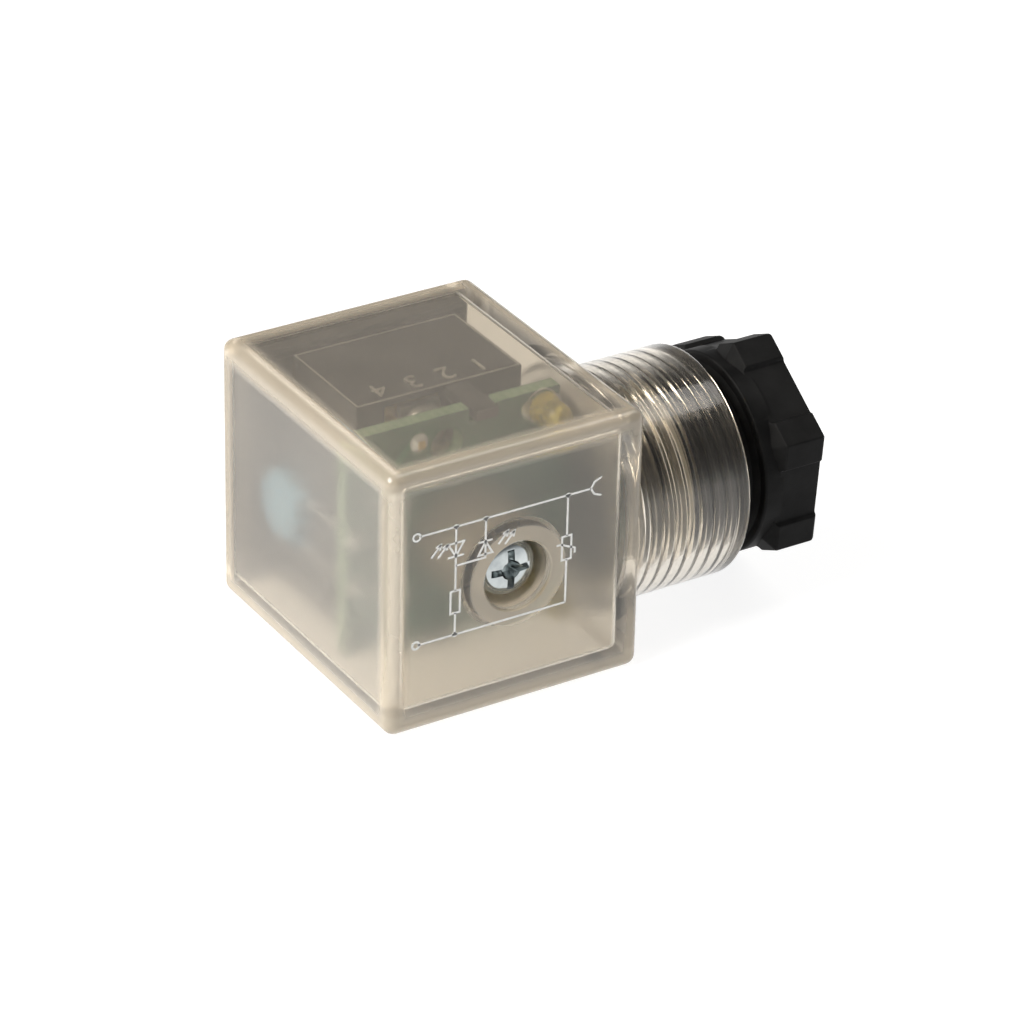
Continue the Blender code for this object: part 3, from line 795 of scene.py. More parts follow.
def make_housing():
    box_depth = (SCREW_FACE + PRINT, RIM_FACE)
    housing = box("housing_shell", about(0, HALF), box_depth, about(AXIS_Z, HALF), EDGE_RADIUS, 5)
    rim = arc((BARREL_R - BARREL_ROUND, BARREL_END - BARREL_ROUND), BARREL_ROUND, 90, 0)
    inner = CAVITY_HALF + 0.3 * MM
    join(housing, turned("barrel", [*rim, (BARREL_R, inner)], "X", GLAND))
    floor = SCREW_FACE + WALL
    cavity_depth, seat_depth = (floor, RIM_FACE + PASS), (SNAP_END, RIM_FACE + PASS)
    cavity = box("cavity", about(0, CAVITY_HALF), cavity_depth, about(AXIS_Z, CAVITY_HALF), 0.8 * MM)
    seat = box("rim_seat", about(0, RIM_SEAT_HALF), seat_depth, about(AXIS_Z, RIM_SEAT_HALF))
    cut(housing, cavity, seat)

    # The column that the fixing screw goes through, and its stepped hole.
    end = INSERT_FRONT - GAP
    flare, chamfer, edge = 0.5 * MM, 0.2 * MM, 0.25 * MM
    column = [
        (COLUMN_R - chamfer, end), (COLUMN_R, end - chamfer), (COLUMN_R, floor + flare),
        (COLUMN_R + flare, floor - 0.02 * MM), (COLUMN_R + flare, SCREW_FACE + WALL / 2)
    ]
    join(housing, turned("column", column, "Y", SCREW_AXIS))
    seat_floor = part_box("screw_seal_ring")[1].y + GAP
    hole = [
        (CLEAR_R, end + PASS), (CLEAR_R, seat_floor), (SCREW_HOLE_R, seat_floor),
        (SCREW_HOLE_R, SCREW_FACE + edge), (SCREW_HOLE_R + edge + PASS, SCREW_FACE - PASS)
    ]

    # The gland's bore: a mouth, the threaded length, the seal's seat and the cable's throat.
    minor, major = NUT_ROOT_R + THREAD_PLAY, NUT_CREST_R + THREAD_PLAY
    mouth = major + 0.25 * MM
    bore = [
        (mouth + PASS, BARREL_END + PASS), (minor, BARREL_END - mouth + minor),
        (minor, BARREL_THREAD_START), (BORE_R, BARREL_THREAD_START - BORE_R + minor),
        (BORE_R, SEAL_SEAT), (THROAT_R, SEAL_SEAT), (THROAT_R, CAVITY_HALF - PASS)
    ]
    bores = [turned("screw_hole", hole, "Y", SCREW_AXIS), turned("gland_bore", bore, "X", GLAND)]
    groove = (CONDUIT_THREAD, major, minor - 0.02 * MM, GLAND_PITCH)
    length = (SEAL_SEAT + 0.3 * MM, BARREL_END + PASS)
    cut(housing, *bores, threaded("barrel_thread", groove, *length, "X", GLAND, GLAND_SIDES))
    smooth(housing)
    crease_barrel(housing)
    stand_for(housing, "housing", "housing")


def make_nut():
    """The compression nut: hexagonal head with corner lugs, collar, threaded shank and bore."""
    low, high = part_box("gland_nut")
    start, end = low.x, high.x
    collar = BARREL_END + 2.3 * MM
    head = collar + 1.05 * MM
    corner = 11.85 * MM
    flat = corner * math.cos(math.radians(30))
    round_off = corner - flat
    edge = 0.3 * MM
    profile = [(corner - edge, end), (corner, end - edge), (corner, head + round_off / 2), (flat, head)]
    nut = turned("nut_black", profile, "X", GLAND, sides=6)
    turn = math.radians(34.5)
    centre = Matrix.Translation(Vector((0, *GLAND)))
    nut.data.transform(centre @ Matrix.Rotation(turn, 4, "X") @ centre.inverted())

    # Each flat is cut back between its corners, which leaves the lugs.
    lug, slope, half = 0.45 * MM, 0.45, corner / 4
    wider = 1 + (lug + PASS) * slope / half
    steps = []
    for side in range(6):
        step = box("step", (head - PASS, end + PASS), (flat - lug, flat + PASS), about(0, half))
        taper(step, flat, (0, 0), (1, wider))
        angle = turn + math.radians(30 + 60 * side)
        step.data.transform(centre @ Matrix.Rotation(angle, 4, "X"))
        steps.append(step)
    soften(cut(nut, *steps), 0.18 * MM, 2, 25)

    collar_r, collar_round = 10.1 * MM, 0.3 * MM
    neck, neck_end = NUT_ROOT_R - 0.15 * MM, collar - 0.9 * MM
    profile = [
        (collar_r, head + PASS),
        *arc((collar_r - collar_round, collar + collar_round), collar_round, 0, -90, 4),
        (NUT_CREST_R, collar), (neck, collar - 0.5 * MM), (neck, neck_end)
    ]
    join(nut, turned("collar", profile, "X", GLAND))

    thread_end = collar - 0.6 * MM
    tip_r, steepness = NUT_CREST_R - 0.6 * MM, 1.2

    def chamfered(along):
        """The largest radius at a place along the shank."""
        back = max(0.0, thread_end - along) * steepness
        return min(tip_r + max(0.0, along - start), NUT_ROOT_R + back)

    thread = (CONDUIT_THREAD, NUT_CREST_R, NUT_ROOT_R, GLAND_PITCH)
    join(nut, threaded("shank", thread, start, thread_end, "X", GLAND, GLAND_SIDES, chamfered))

    bore_r, mouth, entry = 5.6 * MM, 1.4 * MM, 0.8 * MM
    bore = [
        (bore_r + mouth + PASS, end + PASS), *arc((bore_r + mouth, end - mouth), mouth, 90, 180, 6),
        (bore_r, start + entry), (bore_r + entry, start), (bore_r + entry, start - PASS)
    ]
    cut(nut, turned("cable_bore", bore, "X", GLAND))
    stand_for(smooth(nut, 30), "gland_nut", "black")


def make_gland_rings():
    low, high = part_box("gland_seal")
    outer = NUT_ROOT_R - 0.06 * MM
    lip_root, lip = 3.7 * MM, 3.95 * MM
    rib, groove, chamfer = 0.62 * MM, 0.2 * MM, 1.0 * MM
    profile = [(lip, high.x), (outer - chamfer, high.x), (outer, high.x - chamfer)]
    ribs = 3
    first, span = high.x - 1.2 * MM, high.x - 1.4 * MM - low.x
    for index in range(ribs):
        at = first - span * index / ribs
        profile += [(outer, at), (outer - groove, at - rib / 2), (outer, at - rib)]
    profile += [(outer, low.x + groove), (outer - groove, low.x), (lip_root, low.x)]
    lips = 4
    for index in range(lips):
        at = low.x + (high.x - low.x) * (index + 0.5) / lips
        profile += [(lip_root, at), (lip, at + 0.35 * MM)]
    seal = turned("seal_grommet", profile, "X", GLAND, ring=True)
    stand_for(smooth(seal), "gland_seal", "grommet")

    low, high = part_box("gland_washer")
    outer, inner = NUT_ROOT_R - 0.08 * MM, 4.8 * MM
    edge = 0.15 * MM
    profile = [
        (inner + edge, high.x), (outer - edge, high.x), (outer, high.x - edge), (outer, low.x + edge),
        (outer - edge, low.x), (inner + edge, low.x), (inner, low.x + edge), (inner, high.x - edge)
    ]
    washer = turned("pressure_washer", profile, "X", GLAND, ring=True)
    stand_for(smooth(washer), "gland_washer", "washer")


# ---------------------------------------------------------------- screws


def cross_cutter(place, top, reach, width, depth):
    """A crosshead recess: two crossed wings that narrow downwards, and a cone between them.
    place is (x, z), and the head faces -Y."""
    floor_reach, floor_width = 0.42, 0.8
    wider = 1 + (1 - floor_reach) * PASS / depth  # at the cutter's outer end
    cone_r, cone_tip_r = reach * 0.46, reach * 0.25
    parts = []
    for turn in (0, 90):
        wing = box("recess", about(0, reach * wider), (top - PASS, top + depth), about(0, width / 2))
        taper(wing, top, (0, 0), (floor_reach / wider, floor_width))
        wing.data.transform(Matrix.Rotation(math.radians(turn), 4, "Y"))
        parts.append(wing)
    cone = [
        (0.0, top + depth * 1.25), (cone_tip_r, top + depth * 0.98), (cone_r, top),
        (cone_r, top - PASS)
    ]
    parts.append(turned("recess", cone, "Y", (0.0, 0.0), sides=24))
    for part in parts:
        part.data.transform(Matrix.Translation(Vector((place[0], 0, place[1]))))
    return parts


def machine_screw(name, place, head, tip, thread_from, recess, slot=None):
    """A pan-head screw along Y at (x, z), its head towards -Y. head is (top, height, radius),
    recess is the cross's (reach, width, depth) and slot is (width, depth)."""
    top, height, head_r = head
    under, crown = top + height, height * 0.5
    edge, neck = 0.1 * MM, SCREW_R - 0.05 * MM
    angles = [math.radians(degrees) for degrees in (20, 38, 54, 68, 80)]
    dome = [(head_r * math.cos(angle) ** 0.55, top + crown * (1 - math.sin(angle))) for angle in angles]
    profile = [
        (neck, thread_from), (neck, under + 0.15 * MM), (SCREW_R + edge, under),
        (head_r - edge, under), (head_r, under - edge), (head_r, top + crown), *dome, (0.0, top)
    ]
    screw = turned(name, profile, "Y", place, sides=64)
    tip_r, steepness = SCREW_ROOT_R - 0.3 * MM, 1.2

    def chamfered(along):
        """The largest radius at a place along the thread."""
        return min(SCREW_R, tip_r + max(0.0, tip - along) * steepness)

    thread = (V_THREAD, SCREW_R, SCREW_ROOT_R, SCREW_PITCH)
    join(screw, threaded("thread", thread, thread_from - 0.3 * MM, tip, "Y", place, 40, chamfered))
    cutters = cross_cutter(place, top, *recess)
    if slot:
        width, depth = slot
        across = about(place[0], head_r + PASS)
        cutters.append(box("slot", across, (top - PASS, top + depth), about(place[1], width / 2)))
    return cut(screw, join(*cutters))


def make_fixing_screw():
    low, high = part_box("fixing_screw")
    head = (low.y, 2.0 * MM, (high.x - low.x) / 2)
    recess = (2.2 * MM, 0.82 * MM, 1.5 * MM)
    threaded_length = 14 * MM
    screw = machine_screw("crosshead_screw", SCREW_AXIS, head, high.y, high.y - threaded_length, recess)
    stand_for(smooth(screw, 28), "fixing_screw", "zinc")
    low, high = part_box("screw_seal_ring")
    outer = (high.x - low.x) / 2
    middle = ((outer + CLEAR_R) / 2, (low.y + high.y) / 2)
    half = ((outer - CLEAR_R) / 2, (high.y - low.y) / 2)
    oval = []
    sides = 16
    for step in range(sides):
        angle = math.tau * step / sides
        oval.append((middle[0] + half[0] * math.cos(angle), middle[1] - half[1] * math.sin(angle)))
    ring = turned("screw_o_ring", oval, "Y", SCREW_AXIS, ring=True)
    stand_for(smooth(ring, 60), "screw_seal_ring", "rubber")


# ---------------------------------------------------------------- insert and contacts


def terminal_cutters():
    """What one terminal needs: a seat for its tab, a well for its clip, room for its screw's
    tip and a slot for the blade. They are made straight above the screw's axis."""
    well_end = INSERT_FACE - SLOT_WALL
    half, thick = SLOT[0] / 2, SLOT[1] / 2
    blade = about(AXIS_Z + BLADE_RADIUS, thick)
    spread = (SLOT_LEAD_IN + PASS) * 0.7
    lead_in = box("lead_in", about(0, half), (INSERT_FACE - SLOT_LEAD_IN, INSERT_FACE + PASS), blade)
    middle = (0, AXIS_Z + BLADE_RADIUS)
    taper(lead_in, INSERT_FACE, middle, (1 + spread / half, 1 + spread / thick))
    seat_height = up(TAB_SEAT_LOW, CLIP_POCKET[1])
    tip_depth = (POCKET_FLOOR - GAP, TERMINAL_TIP + GAP)
    return [
        box("tab_seat", TAB_SEAT, (INSERT_FRONT - PASS, POCKET_FLOOR), seat_height),
        box("clip_well", about(0, CLIP_POCKET_HALF), (POCKET_FLOOR - GAP, well_end), up(*CLIP_POCKET)),
        rod("screw_relief", SCREW_R + GAP, tip_depth, TERMINAL, 32),
        box("blade_slot", about(0, half), (well_end - GAP, INSERT_FACE + PASS), blade), lead_in
    ]


def make_insert():
    """The contact block: a flange with a snap edge, a body, a tower for the earth contact and
    the tongues that hold the board."""
    flange = (FLANGE_FRONT, INSERT_FACE)
    insert = box("contact_block", about(0, INSERT_HALF), flange, about(AXIS_Z, INSERT_HALF))
    snap_depth = (SNAP_START, SNAP_END)
    snap = box("snap", about(0, SNAP_HALF), snap_depth, about(AXIS_Z, SNAP_HALF), 0.3 * MM, 1)
    within = (INSERT_FRONT, FLANGE_FRONT + PASS)
    body = box("body", BODY, within, about(AXIS_Z, BODY_HALF))
    tower = box("tower", (0.0, INSERT_HALF), within, about(AXIS_Z, TOWER_HALF))
    tongues = []
    for turn in (0, 180):
        height = up(TONGUE_LOW, BODY_HALF - 0.1 * MM)
        tongue = box("tongue", TONGUE, (TONGUE_TIP, INSERT_FRONT + PASS), height)
        tongues.append(about_screw(tongue, turn))
    join(insert, snap, body, tower, *tongues)
    cutters = [rod("hole", CLEAR_R, (INSERT_FRONT - PASS, INSERT_FACE + PASS), SCREW_AXIS, 48)]
    for degrees in TERMINALS.values():
        cutters += [about_screw(cutter, degrees) for cutter in terminal_cutters()]

    # A shallow recess round the screw, and four deeper ones that keep the moulding's walls even.
    recess_r, core_r, core_out = 3.4 * MM, 1.6 * MM, 7.6 * MM
    recess_depth, core_depth = ((INSERT_FACE - depth, INSERT_FACE + PASS) for depth in (0.5 * MM, 2.5 * MM))
    cutters.append(rod("recess", recess_r, recess_depth, SCREW_AXIS, 48))
    for x in about(0, core_out):
        for z in about(AXIS_Z, core_out):
            cutters.append(rod("core", core_r, core_depth, (x, z), 32))
    cut(insert, *cutters)
    stand_for(smooth(soften(insert, 0.16 * MM)), "contact_insert", "insert")
    make_insert_marks()


def make_insert_marks():
    """Raised terminal numbers and the earth sign, on the contact face and on top of the body. They are
    light grey as a painted highlight, though they are moulded in the insert's own black plastic.
    """
    raised, line, inset = 0.2 * MM, 0.16 * MM, 0.1 * MM
    face = Matrix(((-1, 0, 0), (0, 0, 1), (0, 1, 0))).to_4x4()
    marks = []
    for text, height in (("1", 5.6 * MM), ("2", -5.6 * MM)):
        place = Matrix.Translation(Vector((0, INSERT_FACE, AXIS_Z + height)))
        marks.append(figure("mark", text, 2.2 * MM, place @ face, raised))
    earth_x, spacing = 5.6 * MM, 0.5 * MM
    bars = []
    for index, half in enumerate((1.1 * MM, 0.75 * MM, 0.4 * MM)):
        x = earth_x - index * spacing
        bars.append([(x, -half), (x, half)])
    bars.append([(earth_x, 0.0), (6.5 * MM, 0.0)])
    marks.append(strokes("mark", bars, 0.24 * MM, about(INSERT_FACE, raised / 2)))

    # Numbers on top of the body, in a raised frame of thin light grey lines along its top edges: a painted
    # highlight where those edges catch the light.
    top = Matrix(((-1, 0, 0), (0, -1, 0), (0, 0, 1))).to_4x4()
    middle = (BODY[0] + BODY[1]) / 2
    for text, x in (("1", 5.4 * MM), ("2", 1.8 * MM), ("3", -1.8 * MM), ("4", -5.4 * MM)):
        place = Vector((middle + x, INSERT_FRONT + 2.1 * MM, AXIS_Z + BODY_HALF))
        marks.append(figure("mark", text, 3.3 * MM, Matrix.Translation(place) @ top, raised))
    low, high = BODY[0] + inset, BODY[1] - inset
    near, far = INSERT_FRONT + inset, FLANGE_FRONT - inset
    height = up(BODY_HALF - line, BODY_HALF + line / 3)
    between_lines = (near + line * 1.2, far - line * 1.2)
    sides = [
        ((low, high), (far - line, far)), ((low, high), (near, near + line)),
        ((low, low + line), between_lines), ((high - line, high), between_lines)
    ]
    marks += [box("line", x, y, height) for x, y in sides]
    marks = smooth(merge("insert_marks_painted_highlight", *marks))
    goes_with(marks, "contact_insert", "marks")


def make_gasket():
    low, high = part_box("profile_gasket")
    inner, outer = 11.1 * MM, high.x
    middle = (inner + outer) / 2
    lip = 0.3 * MM
    valley = high.y - lip * 1.4
    section = [
        (inner, low.y), (outer, low.y), (outer, high.y - lip), (outer - lip / 2, high.y),
        (outer - lip, high.y), (middle + lip / 2, valley), (middle - lip / 2, valley),
        (inner + lip, high.y), (inner + lip / 2, high.y), (inner, high.y - lip)
    ]
    gasket = swept_square("rim_gasket", section, 0.5 * MM)
    stand_for(smooth(gasket, 40), "profile_gasket", "rubber")


def make_terminals():
    head_height, head_r = 1.2 * MM, 2.2 * MM
    recess, slot = (1.25 * MM, 0.5 * MM, 0.75 * MM), (0.55 * MM, 0.45 * MM)
    for name, degrees in TERMINALS.items():
        keep_node("earth_contact" if name == "earth" else f"contact_{name}", "brass", 0.1 * MM)
        keep_node(f"clamp_plate_{name}", "nickel", 0.12 * MM)
        low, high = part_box(f"terminal_screw_{name}")
        head = (low.y, head_height, head_r)
        thread_from = low.y + head_height + 0.9 * MM
        screw = machine_screw(f"clamp_screw_{name}", TERMINAL, head, high.y, thread_from, recess, slot)
        stand_for(smooth(about_screw(screw, degrees), 28), f"terminal_screw_{name}", "nickel")


# ---------------------------------------------------------------- board


def lead_places():
    """(x, height above the screw's axis) of every lead hole in the board."""
    varistor_x, resistor_x = middle_of("varistor").x, middle_of("resistor").x
    return {
        "led": [(x, out) for out in (LED_OUT, -LED_OUT) for x in about(LED_X, LED_LEADS)],
        "varistor": [(varistor_x, height) for height in VARISTOR_LEADS],
        "resistor": [(resistor_x, height) for height in about(0, RESISTOR_LEADS)],
        "pin": [PIN, (-PIN[0], -PIN[1])]
    }


def make_board():
    half = BOARD_HIGH.z - AXIS_Z
    width = (BOARD_LOW.x, BOARD_HIGH.x)
    board = box("indicator_board", width, (FRONT, BACK), about(AXIS_Z, half))
    through = (FRONT - PASS, BACK + PASS)
    notch = (TONGUE[0] - GAP, TONGUE[1] + GAP), through, up(TONGUE_LOW - GAP, half + PASS)
    cutters = [rod("column_hole", BOARD_HOLE_R, through, SCREW_AXIS)]
    for name, degrees in TERMINALS.items():
        cutters.append(about_screw(rod("access", ACCESS_R, through, TERMINAL, 48), degrees))
        if name != "earth":
            cutters.append(about_screw(box("notch", *notch), degrees))
    places = lead_places()
    hole_r, pin_half = 0.45 * MM, 0.65 * MM
    for x, height in [*places["led"], *places["varistor"], *places["resistor"]]:
        cutters.append(rod("lead_hole", hole_r, through, (x, AXIS_Z + height), 16))
    for x, height in places["pin"]:
        cutters.append(box("pin_hole", about(x, pin_half), through, about(AXIS_Z + height, pin_half)))
    soften(cut(board, *cutters), 0.06 * MM, 1)
    stand_for(smooth(board), "circuit_board", "board")
    make_tracks(places)
    make_solder(places)
    make_outlines(places)


def make_tracks(places):
    """Copper tracks under the green mask, on both faces of the board."""
    copper, width = 0.04 * MM, 0.62 * MM
    varistor_x, resistor_x = places["varistor"][0][0] / MM, places["resistor"][0][0] / MM
    pin_x, pin_z, led_out, resistor_out = PIN[0] / MM, PIN[1] / MM, LED_OUT / MM, RESISTOR_LEADS / MM
    left_led, right_led = (x / MM for x in about(LED_X, LED_LEADS))
    upper, lower = (height / MM for height in VARISTOR_LEADS)
    front = [
        [
            (pin_x, pin_z), (pin_x - 0.9, pin_z), (resistor_x, 7.2), (resistor_x, resistor_out),
            (varistor_x, upper + 0.5), (varistor_x, upper)
        ],
        [
            (-pin_x, -pin_z), (-pin_x, -9.6), (-0.2, -9.9), (-1.2, -8.9), (-5.5, -8.9),
            (varistor_x, -5.2), (varistor_x, lower)
        ],
        [(-pin_x, -pin_z), (5.4, -led_out), (left_led, -led_out)],
        [(right_led, -led_out), (right_led, led_out)]
    ]
    back = [
        (resistor_x, -resistor_out), (-8.1, -3.5), (-8.1, 5.8), (-5.7, 10.1), (0.4, 10.1),
        (1.0, 8.9), (5.5, 8.9), (left_led, led_out)
    ]
    tracks = [
        strokes("tracks", [mm(*path) for path in front], width, about(FRONT, copper)),
        strokes("tracks", [mm(*back)], width, about(BACK, copper))
    ]
    goes_with(smooth(merge("board_tracks", *tracks)), "circuit_board", "mask")


def solder_ring(place, at, side, soldered):
    """A tinned pad round a lead on one face of the board, with a cone of solder or without."""
    pad, pad_r = 0.06 * MM, 0.95 * MM
    inner_r, cone = LEAD_R + 0.02 * MM, 0.55 * MM
    profile = [
        (pad_r, at + side * pad), (pad_r, at - side * pad / 2), (inner_r, at - side * pad / 2),
        (inner_r, at + side * pad)
    ]
    if soldered:
        profile[-1:] = [
            (inner_r, at + side * cone), (inner_r + 0.12 * MM, at + side * cone * 0.72),
            (inner_r + 0.3 * MM, at + side * cone * 0.36), (pad_r - 0.05 * MM, at + side * pad * 1.4)
        ]
    return turned("pad", profile, "Y", place, sides=24, ring=True)


def make_solder(places):
    """Pads and solder. The lamps are soldered at the back, and everything else in front."""
    tinned = []
    for kind, spots in places.items():
        for x, height in spots:
            for side, at in ((-1, FRONT), (1, BACK)):
                soldered = side == (1 if kind == "led" else -1)
                if soldered or kind != "pin":
                    cone = soldered and kind != "pin"
                    tinned.append(solder_ring((x, AXIS_Z + height), at, side, cone))
    rise, top_half = 0.5 * MM, 0.4 * MM
    for x, height in places["pin"]:
        z = AXIS_Z + height
        mound = box("mound", about(x, top_half), (FRONT - rise, FRONT), about(z, top_half))
        taper(mound, FRONT - rise / 2, (x, z), (2, 2))
        tinned.append(soften(mound, 0.15 * MM, 3, 20))
    add_metal("board_solder", "circuit_board", 50, tinned)


def make_outlines(places):
    """The white outlines of the lamps and the resistor."""
    ink, line = 0.02 * MM, 0.14 * MM
    circles = [circle((LED_X, out), 1.72 * MM, 24) for out in (LED_OUT, -LED_OUT)]
    outline = rectangle(places["resistor"][0][0], 1.3 * MM, -3.3 * MM, 3.3 * MM)
    printed = [
        strokes("ink", circles, line, about(FRONT, ink)),
        strokes("ink", [outline], line, about(BACK, ink))
    ]
    goes_with(merge("board_outlines", *printed), "circuit_board", "print")


def make_leds():
    base = FRONT - 0.3 * MM
    radius, rim_r, edge = 1.45 * MM, 1.6 * MM, 0.1 * MM
    rim = base - 0.55 * MM
    post = 0.42 * MM  # how far from the lamp's axis its two posts stand
    cup_top = base - 2.5 * MM
    cup_floor = cup_top + 0.75 * MM
    cup = [
        (0.42 * MM, cup_floor), (0.56 * MM, cup_top), (0.5 * MM, cup_top),
        (0.25 * MM, cup_top + 0.2 * MM), (0.0, cup_top + 0.25 * MM)
    ]
    for name in ("led_1", "led_2"):
        tip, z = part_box(name)[0].y, middle_of(name).z
        profile = [
            (rim_r - edge, base), (rim_r, base - edge), (rim_r, rim + edge),
            (rim_r - edge, rim), (radius, rim), *arc((0.0, tip + radius), radius, 0, -90, 10)
        ]
        lens = turned(f"{name}_lens", profile, "Y", (LED_X, z), sides=48)
        stand_for(smooth(lens, 40), name, "led")
        metalwork = []
        for side in (-1, 1):
            x, post_x = LED_X + side * LED_LEADS, LED_X + side * post
            places = [
                (x, BACK + LEAD_TIP, z), (x, base - 0.25 * MM, z), (post_x, base - 0.9 * MM, z),
                (post_x, base - 1.9 * MM, z)
            ]
            metalwork.append(wire("lead", places, LEAD_R * 0.9, 0.15 * MM))
        metalwork.append(turned("cup", cup, "Y", (LED_X - post, z), sides=24))
        add_metal(f"{name}_frame", name, 40, metalwork)


def make_varistor():
    low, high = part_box("varistor")
    leads_z = [AXIS_Z + height for height in VARISTOR_LEADS]
    middle_z = sum(leads_z) / 2
    radius = high.z - middle_z
    middle_y = high.y - radius
    x = (low.x + high.x) / 2
    half = (high.x - low.x) / 2
    # The coating is thickest in the middle and rolls round the disc's edge.
    crown, swell, roll = radius * 0.45, 0.02 * MM, half * 0.8
    profile = [(0.0, high.x), (crown, high.x - swell)]
    for step in range(13):
        angle = math.radians(90 - 15 * step)
        out = max(0.0, math.cos(angle)) ** 0.8
        profile.append((radius - roll + roll * out, x + half * 0.94 * math.sin(angle)))
    profile += [(crown, low.x + swell), (0.0, low.x)]
    disc = turned("varistor_disc", profile, "X", (middle_y, middle_z), sides=72)
    # Drips of coating run down the leads: (radius, distance from where the lead comes out).
    drip = mm((0.85, 0.0), (0.62, 0.8), (0.42, 1.5), (0.33, 2.2))
    necks = []
    for z in leads_z:
        start = middle_y - math.sqrt(radius**2 - (z - middle_z) ** 2) + 0.6 * MM
        neck = [(neck_r, start - down) for neck_r, down in drip]
        necks.append(turned("neck", neck, "Y", (x, z), sides=24))
    join(disc, *necks)
    stand_for(smooth(disc, 50), "varistor", "varistor")
    legs = [wire("leg", [(x, middle_y, z), (x, low.y, z)], LEAD_R) for z in leads_z]
    add_metal("varistor_legs", "varistor", 50, legs)


def make_resistor():
    low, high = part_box("resistor")
    x = (low.x + high.x) / 2
    radius = (high.x - low.x) / 2
    y = high.y - radius
    cap, shoulder, end = 0.95 * MM, 0.35 * MM, RESISTOR_HALF
    upper = [
        (radius * 0.5, end), (radius * 0.85, end - shoulder * 0.4), (radius, end - shoulder),
        (radius, end - cap), (radius * 0.84, end - cap - shoulder)
    ]
    profile = [(r, AXIS_Z + out) for r, out in upper] + [(r, AXIS_Z - out) for r, out in upper[::-1]]
    body = turned("resistor_body", profile, "Z", (x, y), sides=40)
    stand_for(smooth(body, 40), "resistor", "resistor")
    legs = []
    for side in (-1, 1):
        start, tip = AXIS_Z + side * (end - 0.3 * MM), AXIS_Z + side * RESISTOR_LEADS
        legs.append(wire("leg", [(x, y, start), (x, y, tip), (x, low.y, tip)], LEAD_R, 0.6 * MM))
    add_metal("resistor_legs", "resistor", 50, legs)


# ---------------------------------------------------------------- print


def lamp_sign(x, half, base, tip):
    """A diode's triangle and bar."""
    triangle = [(x - half, base), (x + half, base), (x, tip), (x - half, base)]
    return [triangle, [(x - half, tip), (x + half, tip)]]


def make_print():
    """The circuit, printed in white on the screw face: two lamps and a resistor between the
    lines, with a varistor across them. Points are in millimetres from the screw's axis."""
    top, bottom = 7.1, -4.3
    left, column, lamp_x, varistor_x = -10.9, -6.75, -3.6, 5.22
    paths = [
        [(left + 0.4, top), (7.7, top)],
        [(8.85, 8.05), (8.1, 7.75), (7.7, top), (8.1, 6.45), (8.85, 6.15)],
        [(left + 0.2, bottom), (varistor_x, bottom)],
        [(column, top), (column, 0.35)],
        [(column, -2.0), (column, bottom)],
        rectangle(column, 0.5, 0.35, -2.0),
        *lamp_sign(column, 0.85, 5.4, 4.0),
        [(lamp_x, top), (lamp_x, 3.0), (column, 3.0)],
        *lamp_sign(lamp_x, 0.75, 3.35, 4.7),
        [(varistor_x, top), (varistor_x, 2.8)],
        [(varistor_x, 0.3), (varistor_x, bottom)],
        rectangle(varistor_x, 0.5, 2.8, 0.3),
        [
            (varistor_x - 1.1, 2.0), (varistor_x - 0.6, 2.0), (varistor_x + 0.9, 1.3),
            (varistor_x + 0.9, 0.75)
        ]
    ]
    for height in (top, bottom):
        paths.append(circle((left, height), 0.38, 16))
    for x, height in ((column, top), (lamp_x, top), (varistor_x, top), (column, bottom)):
        paths.append(circle((x, height), 0.165, 12))
    # Two arrows of light leave each lamp.
    for x, height in ((column - 2.6, 4.5), (column - 1.9, 4.3), (lamp_x + 1.4, 4.0), (lamp_x + 2.1, 3.8)):
        tip_x, tip = x + 1.0, height + 1.15
        paths.append([(x, height), (tip_x, tip)])
        paths.append([(tip_x - 0.55, tip - 0.2), (tip_x, tip), (tip_x - 0.1, tip - 0.6)])
    depths = (SCREW_FACE, SCREW_FACE + PRINT + 0.005 * MM)
    printed = strokes("circuit_print", [mm(*path) for path in paths], 0.21 * MM, depths)
    goes_with(printed, "housing", "print")


# ---------------------------------------------------------------- stage


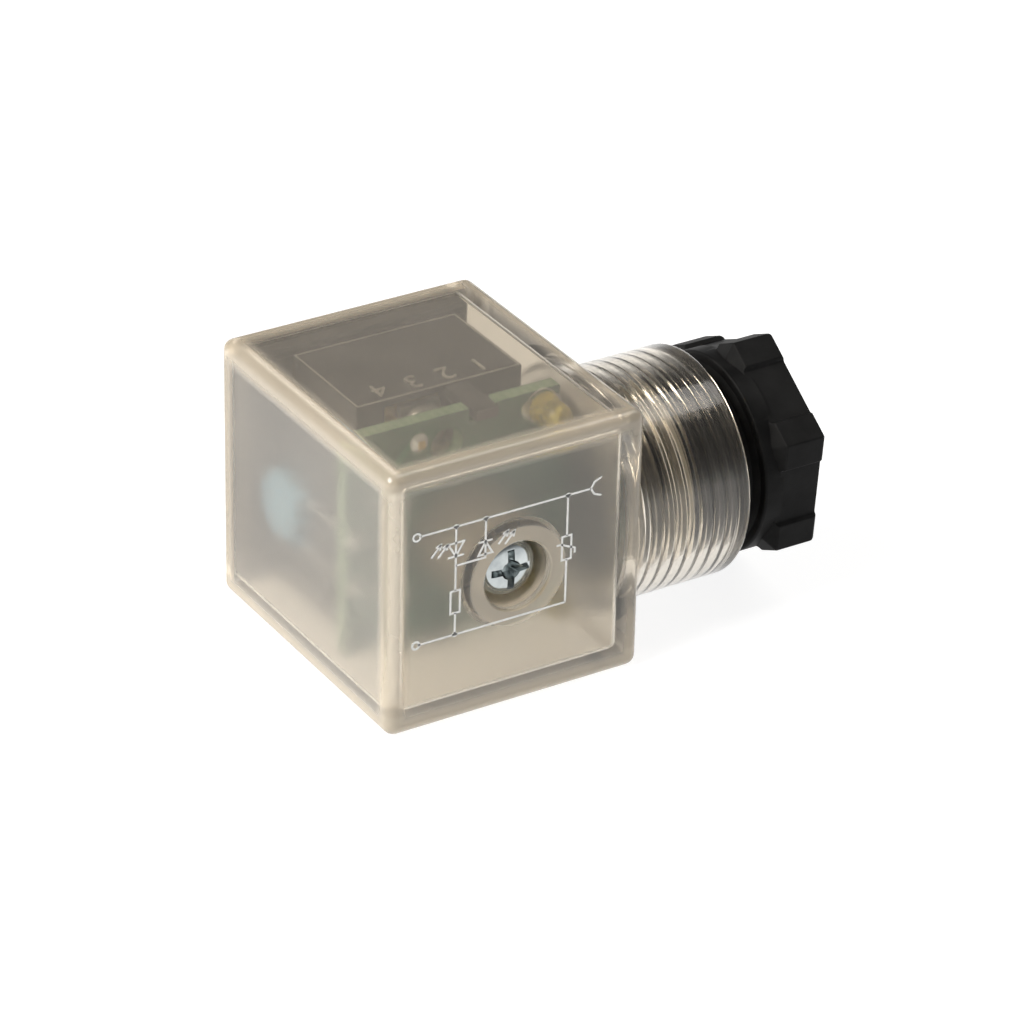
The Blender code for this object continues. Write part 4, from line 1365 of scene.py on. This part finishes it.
def softbox(name, place, size, power):
    """A rectangular light that faces the middle of the screw face."""
    light = bpy.data.lights.new(name, "AREA")
    light.shape = "RECTANGLE"
    light.size, light.size_y = size
    light.energy = power
    light.color = (1.0, 0.97, 0.93)
    obj = link(name, light)
    obj.location = place
    obj.rotation_euler = (Vector((0, 0, AXIS_Z)) - Vector(place)).to_track_quat("-Z", "Y").to_euler()


def make_stage():
    """A pale floor, a room that is brightest near the horizon, and two lights."""
    bpy.ops.mesh.primitive_plane_add(size=6.0, location=(0, 0, -0.03 * MM))
    floor = bpy.context.object
    floor.name = "floor"
    look = Look("floor_paper", (0.3, 0.3, 0.3), 0.9)
    look.set("Emission Color", (1, 1, 1, 1))
    look.set("Emission Strength", 0.88)
    floor.data.materials.append(look.material)

    world = bpy.data.worlds.new("studio")
    bpy.context.scene.world = world
    world.use_nodes = True
    tree = world.node_tree
    height = add_node(tree, "SeparateXYZ", "Z", {0: add_node(tree, "TexCoord", "Generated", {})})
    ramp = add_node(tree, "ValToRGB", "Color", {0: height})
    levels = ((0.0, 1.0), (0.08, 0.7), (0.25, 0.25), (0.5, 0.14), (1.0, 0.2))
    set_stops(ramp.node.color_ramp, [(height, (level, level, level)) for height, level in levels])
    tree.links.new(ramp, tree.nodes["Background"].inputs["Color"])
    softbox("key", (-0.48, 0.09, 0.44), (0.5, 0.4), 7.2)
    softbox("overhead", (0.38, -0.02, 0.65), (0.3, 0.5), 1.4)


def make_camera():
    """The camera that the reference view's edges were solved for."""
    azimuth, elevation, roll = (math.radians(angle) for angle in (-32.092, 29.388, 1.339))
    turn = Matrix.Rotation(azimuth, 4, "Z") @ Matrix.Rotation(math.pi / 2 - elevation, 4, "X")
    data = bpy.data.cameras.new("camera")
    data.sensor_width = 36
    data.lens = 165.3
    data.clip_start = 0.01
    data.clip_end = 20
    camera = link("camera", data)
    place = Matrix.Translation(Vector((-0.1997, -0.33321, 0.23156)))
    camera.matrix_world = place @ turn @ Matrix.Rotation(roll, 4, "Z")
    bpy.context.scene.camera = camera
    bpy.context.scene.view_settings.view_transform = "Standard"


make_housing()
make_nut()
make_gland_rings()
make_fixing_screw()
make_insert()
make_gasket()
make_terminals()
make_board()
make_leds()
make_varistor()
make_resistor()
make_print()
make_stage()
make_camera()
